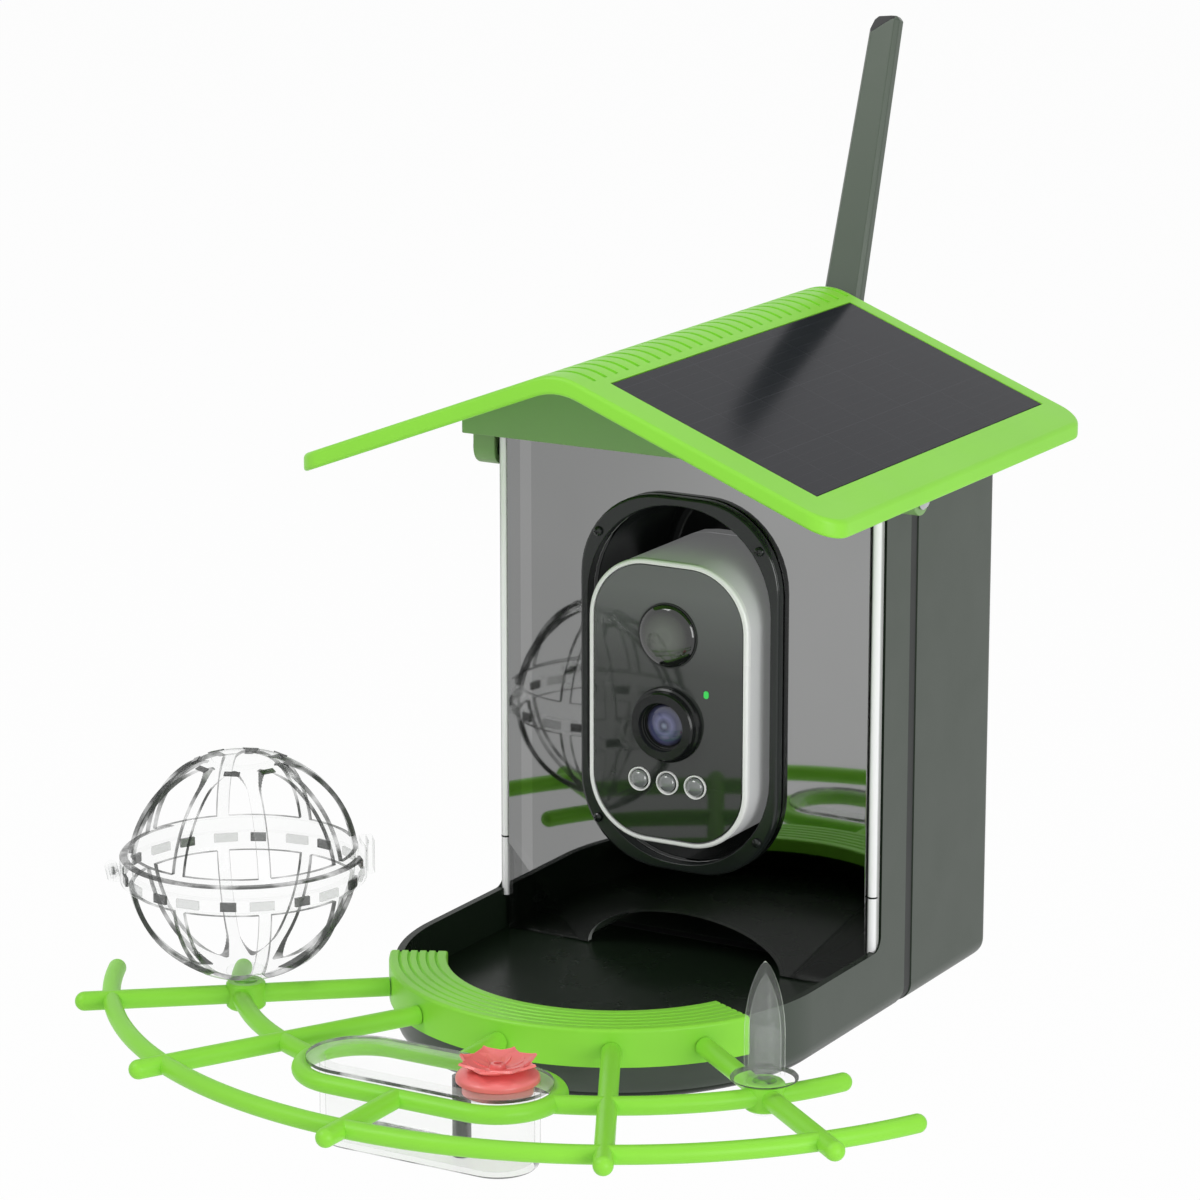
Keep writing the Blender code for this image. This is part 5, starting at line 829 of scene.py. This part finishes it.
def make_gable():
    """The frame under the lid, in a darker lime as painted shade, with the two ears that it turns on and the
    pins in them.
    """
    half, bottom, drop, wall = 0.0845, 0.1875, 0.003944, 0.002
    front, back, radius = -0.0925, 0.005, 0.00575
    outline = roof_line(half, drop) + [(half, bottom), (-half, bottom)]
    room = block((wall - half, front + wall, 0.18), (half - wall, back - wall, 0.24))
    lower = ring_points((HINGE_Y, HINGE_Z), radius, 180, 360, 24)
    ear = [(HINGE_Y - radius, 0.1921), *lower, (HINGE_Y + radius, 0.1921)]
    ears = [slab(ear, *sorted((side * 0.0757, side * 0.0843)), "X") for side in (-1, 1)]
    made = carved(loose("gable_frame", slab(outline, front, back, "Y")), [room])
    placed(softened(carved(made, adds=ears), 0.0004), "roof", GABLE_LIME_PAINTED_SHADE, "sage_green", "gable_skirt")
    dome = [(0, 0.0018), (0.0016, 0.0017), (0.0030, 0.0011), (0.0037, 0.0003), (0.0037, 0), (0, 0)]
    for word, side in (("left", -1), ("right", 1)):
        outside, inside = (side * 0.0848, HINGE_Y, HINGE_Z), (side * 0.0714, HINGE_Y, HINGE_Z)
        outwards = Matrix.Translation(outside) @ Matrix.Rotation(side * pi / 2, 4, "Y")
        pin = joined(moved(turned(dome, steps=32), outwards), bar(outside, inside, 0.002))
        placed(loose(f"ear_pin_{word}", pin), "housing", STEEL, "steel", f"roof_pin_{word}")


# Camera


def camera_plan(inset):
    """The camera's front outline, drawn inwards by the inset."""
    return rounded(0.061 - 2 * inset, 0.0985 - 2 * inset, 0.022 - inset, (0, CAMERA_Z), 16)


def domed(radius, foot, rise, back, steps):
    """The profile of a flat-backed dome, from its tip round to the middle of its back."""
    turns = [pi / 2 * step / steps for step in range(1, steps + 1)]
    arc = [(radius * sin(turn), foot + rise * cos(turn)) for turn in turns]
    return [(0, foot + rise), *arc, (radius, back), (0, back)]


def make_camera():
    """The white rim, the shell and the glossy face with its sensor cap, lens, lamps and green light."""
    front, case_front, case_back = CAMERA_Y + GAP, CAMERA_Y + 0.0022, -0.0534
    rim = bevelled(slab(camera_plan(0), CAMERA_Y, case_front, "Y"), 0.0009, lambda co: co.y < front, 4)
    made = carved(loose("camera_rim", rim), [slab(camera_plan(0.0016), -0.11, -0.09, "Y")])
    placed(made, "camera", WHITE, "camera_body")
    shell = slab(camera_plan(0.0001), case_front, case_back, "Y")
    made = carved(loose("camera_case", shell), [slab(camera_plan(0.003), -0.11, -0.04, "Y")])
    placed(softened(made, 0.0003), "camera", BODY, "camera_body", "camera_shell")
    face = slab(camera_plan(0.0019), front, CAMERA_Y + 0.0029, "Y")
    bevelled(face, 0.0004, lambda co: co.y < front + 0.0001, 3)
    sensor = (0, front, SENSOR_Z)
    lamps = [(x, front, LAMP_Z) for x in (-0.01075, 0, 0.01075)]
    wells = [bar((0, front - 0.004, SENSOR_Z), (0, front + 0.0006, SENSOR_Z), 0.0112, 64)]
    wells += [bar((x, y - 0.004, z), (x, y + 0.0005, z), 0.0043, 40) for x, y, z in lamps]
    made = softened(carved(loose("camera_front", face), wells), 0.00015)
    placed(made, "camera", CAMERA_FACE_PAINTED_REFLECTION, "camera_gloss", "camera_face")
    cap = turned(domed(0.01075, 0.0004, 0.0030, -0.0005, 12), sensor, "-Y", 64)
    placed(loose("sensor_cap", cap), "camera", SENSOR_DOME_PAINTED_SHADE, "camera_gloss", "pir_dome")
    collar = [(0.0112, 0.0005), (0.0112, -0.0004), (0.01085, -0.0004), (0.01085, 0.0005)]
    placed(loose("sensor_collar", turned(collar, sensor, "-Y", 64)), "camera", RUBBER, "black")
    make_lens((0, front, LENS_Z))
    cup = [(0.00415, 0.0004), (0.0041, 0.0006), (0.0038, 0.0006), (0.0033, -0.0004), (0.00415, -0.0004)]
    for number, place in enumerate(lamps, 1):
        bead = turned(domed(0.0031, 0.0002, 0.0016, -0.0004, 8), place, "-Y", 32)
        placed(loose(f"lamp_bead_{number}", bead), "camera", BEAD, "clear", f"ir_lens_{number}")
        placed(loose(f"lamp_cup_{number}", turned(cup, place, "-Y", 40)), "camera", WHITE, "camera_body")
    outline = rounded(0.0018, 0.0026, 0.0008, (0.0148, CAMERA_Z + 0.0052), 6)
    light = slab(outline, front - 0.0003, front + 0.001, "Y")
    placed(loose("green_light_pipe", light), "camera", LED, "led", "status_led")


def make_lens(place):
    """Stepped black rings round a domed blue lens with a smaller element behind it."""
    profile = [
        (0.0085, 0.0050), (0.0113, 0.0046), (0.0118, 0.0040), (0.0121, 0.0022), (0.0128, 0.0018),
        (0.0131, 0.0010), (0.0131, 0.0001), (0.0020, 0.0001), (0.0077, 0.0010), (0.0078, 0.0018),
        (0.0080, 0.0019), (0.0081, 0.0028), (0.0084, 0.0029), (0.0085, 0.0038), (0.0087, 0.0044),
    ]
    rings = loose("lens_rings", turned(profile, place, "-Y", 72))
    placed(rings, "camera", LENS_BLACK, "black", "lens_barrel", smooth=25)
    dome = turned(domed(0.0076, 0.0008, 0.0017, 0.0004, 12), place, "-Y", 48)
    placed(loose("lens_dome", dome), "camera", LENS_RINGS_AND_PAINTED_HIGHLIGHT, "lens", "lens_glass")


# Antenna


def make_antenna():
    """A flat paddle with faceted edges and a slanted tip, leaning back from its eye."""
    thick, top = 0.003, 0.1626
    right = [(0.0071, 0.009), (0.0080, 0.018), (0.0055, top)]
    outline = right + [(-x, z) for x, z in reversed(right)]
    blade = bevelled(slab(outline, -thick, thick, "Y"), 0.0014, lambda co: abs(co.y) > thick - 0.0001, 1)
    corners = ((0.0050, -thick, top), (-0.0055, -thick, 0.1552), (-0.0055, 0.0016, top))
    first, second, third = map(Vector, corners)
    slant = (second - first).cross(third - first)
    slant *= 1 if slant.z > 0 else -1
    parts = [*blade.verts, *blade.edges, *blade.faces]
    cut = bmesh.ops.bisect_plane(blade, geom=parts, plane_co=first, plane_no=slant, clear_outer=True)
    rim = [edge for edge in cut["geom_cut"] if isinstance(edge, bmesh.types.BMEdge)]
    bmesh.ops.edgeloop_fill(blade, edges=rim)
    blade = taken_back(softened(loose("antenna_paddle", blade), 0.0003, 2, 20))
    eye = bar((-0.0022, 0, 0), (0.0022, 0, 0), thick, 32)
    neck = block((-0.0022, -0.0027, 0), (0.0022, 0.0027, 0.012))
    lean = Matrix.Translation((0, 0.0085, ANTENNA_HEIGHT)) @ Matrix.Rotation(-radians(18.35), 4, "X")
    whole = loose("antenna_paddle_and_eye", moved(joined(blade, eye, neck), lean))
    paddle = placed(whole, "antenna", PADDLE, "dark_green", "antenna_blade", smooth=18)
    slant = (lean.to_3x3() @ slant).normalized()
    # painted shade: the slanted facet of the tip takes the near-black lens finish, darker than the rest of
    # the paddle
    edged(paddle, LENS_BLACK, lambda place, normal: place.z > 0.305 and normal.dot(slant) > 0.9)


# Fruit cage

CAGE = Vector(at(SOCKET_REACH, SPOKES[0], 0.063))
CAGE_RADIUS = 0.0382
CAGE_WINDOWS = 8


def window_turn(number):
    """Where the middle of a cage window lies, as a turn about the ball's middle."""
    return upright((number + 0.5) * 2 * pi / CAGE_WINDOWS)


def arched_window(up):
    """A wedge that cuts one arched window, narrower towards the ball's middle."""
    near, far, low, high, rounding, rib, steps = 0.011, 0.043, 0.0061, 0.0350, 0.0305, 0.0024, 24
    sides = []
    for step in range(steps):
        height = low + (high - low) * (1 - (1 - step / steps) ** 2)
        level = sqrt(CAGE_RADIUS ** 2 - height ** 2)
        lean = max(0, (height - rounding) / (high - rounding))
        half = (level * tan(pi / CAGE_WINDOWS) - rib) * sqrt(1 - min(1, lean) ** 2)
        sides.append((half * CAGE_RADIUS / level, height))
    outline = [(-x, z) for x, z in sides] + [(0, high)] + sides[::-1]
    wedge = slab([(x, up * z) for x, z in outline], near, far, "X")
    for vert in wedge.verts:
        vert.co.y *= vert.co.x / CAGE_RADIUS
    return wedge


def half_ball(up):
    """One half of the ball as a thin shell with a band and a flat end."""
    skin, middle, band_top, steps = 0.0016, 0.0001, 0.0046, 20
    inner = CAGE_RADIUS - skin
    first, last = asin(band_top / CAGE_RADIUS), acos((0.0125 if up > 0 else 0.0085) / CAGE_RADIUS)
    shell = ring_points((0, 0), CAGE_RADIUS, degrees(first), degrees(last), steps)
    flat = shell[-1][1]
    first, last = asin((flat - skin) / inner), middle / inner
    lining = ring_points((0, 0), inner, degrees(first), degrees(last), steps)
    band = [(0.0405, middle), (0.0405, 0.0040), (0.0399, band_top)]
    profile = [*band, *shell, (0, flat), (0, flat - skin), *lining]
    return turned([(radius, up * height) for radius, height in profile], steps=96)


def on_window_edge(place, normal):
    """True on the cut faces round the cage's windows and on the front of its band's upper edge."""
    level, reach = place.xy.length, place.length
    if 0.0030 < place.z < 0.0052 and normal.z > 0.5 and place.y < 0.012:
        return level > CAGE_RADIUS + 0.0004
    beside = 0.0300 < reach < CAGE_RADIUS + 0.0004 and abs(place.normalized().dot(normal)) < 0.96
    return beside and 0.0058 < abs(place.z) < 0.0356 and level > 0.0108


def make_cage():
    """The clear ball that opens at its waist, with ribs, clips, a hinge and a stem."""
    home = Matrix.Translation(CAGE)
    stem = [(0, -0.0355), (0.0060, -0.0355), (0.0065, -0.0368), (0.0050, -0.0388), (0.0065, -0.0398)]
    stem += [(0.0036, -0.0398), (0.0036, -0.0506), (0, -0.0506)]
    rim = [(0.0130, 0.0358), (0.0125, 0.0366), (0.0100, 0.0368), (0.0096, 0.0360)]
    fork, tongue = ((-0.00575, -0.0023), (0.0023, 0.00575)), ((-0.002, 0.002),)
    for word, body, node, up, end, eyes in (
        ("lower", "fruit_cage", "cage_bowl", -1, turned(stem, steps=40), fork),
        ("upper", "fruit_cage_lid", "cage_lid", 1, turned(rim, steps=64), tongue),
    ):
        windows = [moved(arched_window(up), window_turn(number)) for number in range(CAGE_WINDOWS)]
        made = softened(carved(loose(f"cage_{word}", half_ball(up)), [joined(*windows)]), 0.0003, 2, 40)
        shells = []
        for first, last in eyes:
            shells.append(bar((0.043, first, 0), (0.043, last, 0), 0.0021))
            low, high = sorted((0, up * 0.002))
            shells.append(block((0.039, first, low), (0.043, last, high)))
        whole = moved(joined(taken_back(made), moved(joined(*shells), upright(radians(220))), end), home)
        half = placed(loose(f"cage_{word}_half", whole), body, CLEAR, "clear", node, smooth=30)
        edged(half, EDGE, lambda place, normal: on_window_edge(place - CAGE, normal))
    for name, finish, first, width in (("lugs", SMOKED, 297, 0.0026), ("patches", FROSTED, 313, 0.0040)):
        turns = [upright(radians(first + 36 * number)) for number in range(10)]
        pads = [moved(block((0.0386, -width, -0.0038), (0.0396, width, -0.0009)), turn) for turn in turns]
        placed(loose(f"cage_band_{name}", moved(joined(*pads), home)), "fruit_cage", finish, "clear")
    # painted shade: small dark blocks at the top of each window arch, where the clear plastic looks darkest
    out = Matrix.Rotation(radians(23.5), 4, "Y") @ Matrix.Translation((0, 0, 0.0383))
    half_tip = Vector((0.0010, 0.0026, 0.0002))
    painted_shade_tips = [moved(block(-half_tip, half_tip), window_turn(number) @ out) for number in range(CAGE_WINDOWS)]
    placed(loose("cage_arch_tips_painted_shade", moved(joined(*painted_shade_tips), home)), "fruit_cage_lid", SMOKED, "clear")
    hook = block((0.0408, -0.0035, -0.0045), (0.0430, 0.0035, 0.0073))
    root = block((0.0386, -0.0035, 0.0051), (0.0411, 0.0035, 0.0073))
    latch = loose("cage_clip", moved(joined(hook, root), home @ upright(radians(40))))
    placed(softened(latch, 0.0004), "fruit_cage_lid", CLEAR, "clear", "cage_latch")


# Nectar cup, flower and spike

CUP_SEAT = 0.0213
CUP_TOP = 0.0228
CUP_LOW = -0.0056
SPIKE = Vector(at(SOCKET_REACH, SPOKES[-1], 0))


def in_cup(place):
    """True inside the line halfway between the cup's bore and its flange."""
    across = max(0, abs(place.x) - HOLDER_HALF)
    return Vector((across, place.y - HOLDER_Y)).length < 0.0145


def make_cup():
    """The oval cup, the flange that it hangs by and the feed tube in it."""
    centre = (0, HOLDER_Y)
    wall, rim, inside, floor = 0.0133, 0.0176, 0.0115, 0.0018
    cup = slab(oval(HOLDER_HALF, wall, centre), CUP_LOW, CUP_SEAT + GAP)
    bevelled(cup, 0.003, lambda co: co.z < CUP_LOW + GAP, 5)
    flange = slab(oval(HOLDER_HALF, rim, centre), CUP_SEAT, CUP_TOP)
    room = slab(oval(HOLDER_HALF, inside, centre), CUP_LOW + floor, 0.03)
    bevelled(room, 0.002, lambda co: co.z < CUP_LOW + 0.002, 4)
    made = softened(carved(loose("nectar_cup_oval", cup), [room], [flange]), 0.0004, 3)
    cup = placed(made, "cup", THICK, "clear", "nectar_cup", smooth=30)
    # painted sheen on the cup's level faces
    edged(cup, LEVEL_FACE_PAINTED_SHEEN, lambda place, normal: abs(normal.z) > 0.8)
    edged(cup, EDGE, lambda place, normal: abs(normal.z) < 0.5 and place.z > CUP_SEAT and not in_cup(place))
    edged(cup, EDGE, lambda place, normal: 0.3 < abs(normal.z) < 0.9 and place.z < CUP_LOW + 0.0012)
    outer, bore, low = 0.0030, 0.0018, CUP_LOW + 0.0022
    profile = [(outer, CUP_TOP), (outer, low), (bore, low), (bore, CUP_TOP)]
    pipe = turned(profile, (0.0132, -0.2533, 0), steps=32)
    placed(loose("feed_pipe", pipe), "cup", SMOKED, "clear", "feed_tube")


def petal_leaf(length=0.0118, width=0.0096):
    """A pointed, cupped petal that flares up from the flower's middle."""
    bm = bmesh.new()
    bmesh.ops.create_grid(bm, x_segments=10, y_segments=8, size=0.5)
    for vert in bm.verts:
        along, across = vert.co.x + 0.5, vert.co.y * 2
        spread = (0.35 + sin(pi * min(1, along * 1.05) ** 0.8)) * (1 - along ** 5)
        rise = length * (0.06 * along + 0.17 * along ** 2) + 0.0011 * across ** 2 * spread
        vert.co = (length * along, across * width / 2 * spread, rise)
    bmesh.ops.remove_doubles(bm, verts=bm.verts, dist=1e-5)
    bmesh.ops.solidify(bm, geom=bm.faces, thickness=0.0008)
    return bm


def make_flower():
    """The coral port: a domed skirt over the cup's flange, eight petals and the open eye."""
    foot, petals = CUP_TOP + GAP, 8
    arc = ring_points((0, 0), 1, 90, 0, 10)
    side = [(0.0040 + 0.0092 * across, foot + 0.0010 + 0.0028 * up) for across, up in arc]
    profile = [
        (0.0016, foot + 0.0038), *side, (0.0132, foot), (0.0112, foot), (0.0112, foot - 0.004),
        (0.0097, foot - 0.004), (0.0097, foot + 0.0008), (0.0016, foot + 0.0018),
    ]
    shells = [turned(profile, steps=64)]
    for number in range(petals):
        lean = Matrix.Translation((0.0012, 0, 0)) @ Matrix.Rotation(radians(-5), 4, "Y")
        lift = Matrix.Translation((0, 0, foot + 0.0030 + 0.0003 * (number % 2)))
        leaf = moved(petal_leaf(), lift @ upright(2 * pi * (number + 0.15) / petals) @ lean)
        shells.append(outward(leaf))
    eye = [(0.0013, 0.0054), (0.0022, 0.0053), (0.0026, 0.0044), (0.0027, 0.0030), (0.0013, 0.0030)]
    shells.append(turned([(radius, foot + height) for radius, height in eye], steps=32))
    whole = moved(joined(*shells), Matrix.Translation((HOLDER_HALF, HOLDER_Y, 0)))
    placed(loose("coral_flower_port", whole), "flower", CORAL, "coral", "flower_port", smooth=45)


def make_spike():
    """The clear bullet with its flanged foot, a hollow stem and the cross-shaped ribs inside."""
    root, tip, radius, skin, straight, steps = 0.0250, 0.0620, 0.0064, 0.0013, 0.35, 24
    height = tip - root
    bullet = []
    for step in range(steps + 1):
        share = 1 - step / steps
        along = max(0, (share - straight) / (1 - straight))
        bullet.append((radius * max(0, 1 - along ** 2) ** 0.75, root + height * share))
    lining = [(max(0, across - skin), root + (level - root) * 0.93) for across, level in reversed(bullet)]
    flange = [
        (0.0100, root), (0.0107, root - 0.0007), (0.0107, root - 0.0011), (0.0095, root - 0.0018),
        (0.0036, root - 0.0018), (0.0036, 0.0124), (0.0020, 0.0124), (0.0020, root),
    ]
    shells = [turned([*bullet, *flange, *lining], SPIKE, steps=56)]
    for wide, deep in ((0.0056, 0.0005), (0.0005, 0.0056)):
        low, high = Vector((-wide, -deep, root + 0.001)), Vector((wide, deep, root + height * 0.42))
        shells.append(block(SPIKE + low, SPIKE + high))
    whole = loose("fruit_spike_bullet", joined(*shells))
    # the spike's pale outline is a painted highlight
    spike = placed(whole, "spike", CLEAR_PAINTED_HIGHLIGHT, "clear", "fruit_spike", smooth=30)
    foot = SPIKE.xy
    edged(spike, EDGE, lambda place, normal: (place.xy - foot).length > 0.0085 and normal.z < 0.5)


for make in (
    make_tray, make_rear, make_window, make_bay, make_ring, make_perch, make_roof, make_gable,
    make_camera, make_antenna, make_cage, make_cup, make_flower, make_spike,
):
    make()

# Studio

AMBIENT = 0.45
FLOOR_LEVEL = -0.30
CAMERA_PLACE = (0.7322, -1.4125, 0.4026)
CAMERA_TURN = (76.1, 0, 30)
CAMERA_LENS = 139.03


def studio_floor():
    """A white floor well under the feeder, which hangs by its rear mount."""
    bm = bmesh.new()
    bmesh.ops.create_grid(bm, x_segments=1, y_segments=1, size=6)
    floor = loose("floor", bm)
    floor.location = (0, 0, FLOOR_LEVEL)
    look = Look("white_floor")
    paper = look.noise(3, 2)
    shade = look.mixed(paper, (0.97, 0.97, 0.97), (1, 1, 1))
    matt = look.node("BsdfDiffuse", {"Color": shade})
    white = look.node("Emission", {"Color": (1, 1, 1)})
    surface = look.node("MixShader", {0: look.seen() * 0.96, 1: matt, 2: white})
    floor.data.materials.append(look.ended(surface))


def lamp(name, place, size, power):
    """A square soft lamp aimed at the feeder's middle."""
    light = bpy.data.lights.new(name, "AREA")
    light.shape = "RECTANGLE"
    light.size = light.size_y = size
    light.energy = power
    made = linked(name, light)
    made.location = place
    made.rotation_euler = (Vector((0, -0.1, 0)) - Vector(place)).to_track_quat("-Z", "Y").to_euler()


def studio_world():
    """Soft light from all round, seen as plain white by the camera, by gloss and through glass."""
    world = bpy.data.worlds.new("studio")
    scene.world = world
    look = Look("studio", world)
    light, white = [
        look.node("Background", {"Color": (1, 1, 1), "Strength": strength})
        for strength in (AMBIENT, 1)
    ]
    look.ended(look.node("MixShader", {0: look.seen(), 1: light, 2: white}), "World")


studio_floor()
studio_world()
lamp("key", (-1.1, -1.5, 1.7), 1.0, 20)
lamp("side", (1.7, -1.0, 0.25), 1.0, 17)
lamp("top", (0.2, 0.1, 1.8), 1.2, 4)

camera = linked("camera", bpy.data.cameras.new("camera"))
camera.location = CAMERA_PLACE
camera.rotation_euler = [radians(turn) for turn in CAMERA_TURN]
camera.data.lens = CAMERA_LENS
scene.camera = camera
scene.view_settings.view_transform = "Standard"
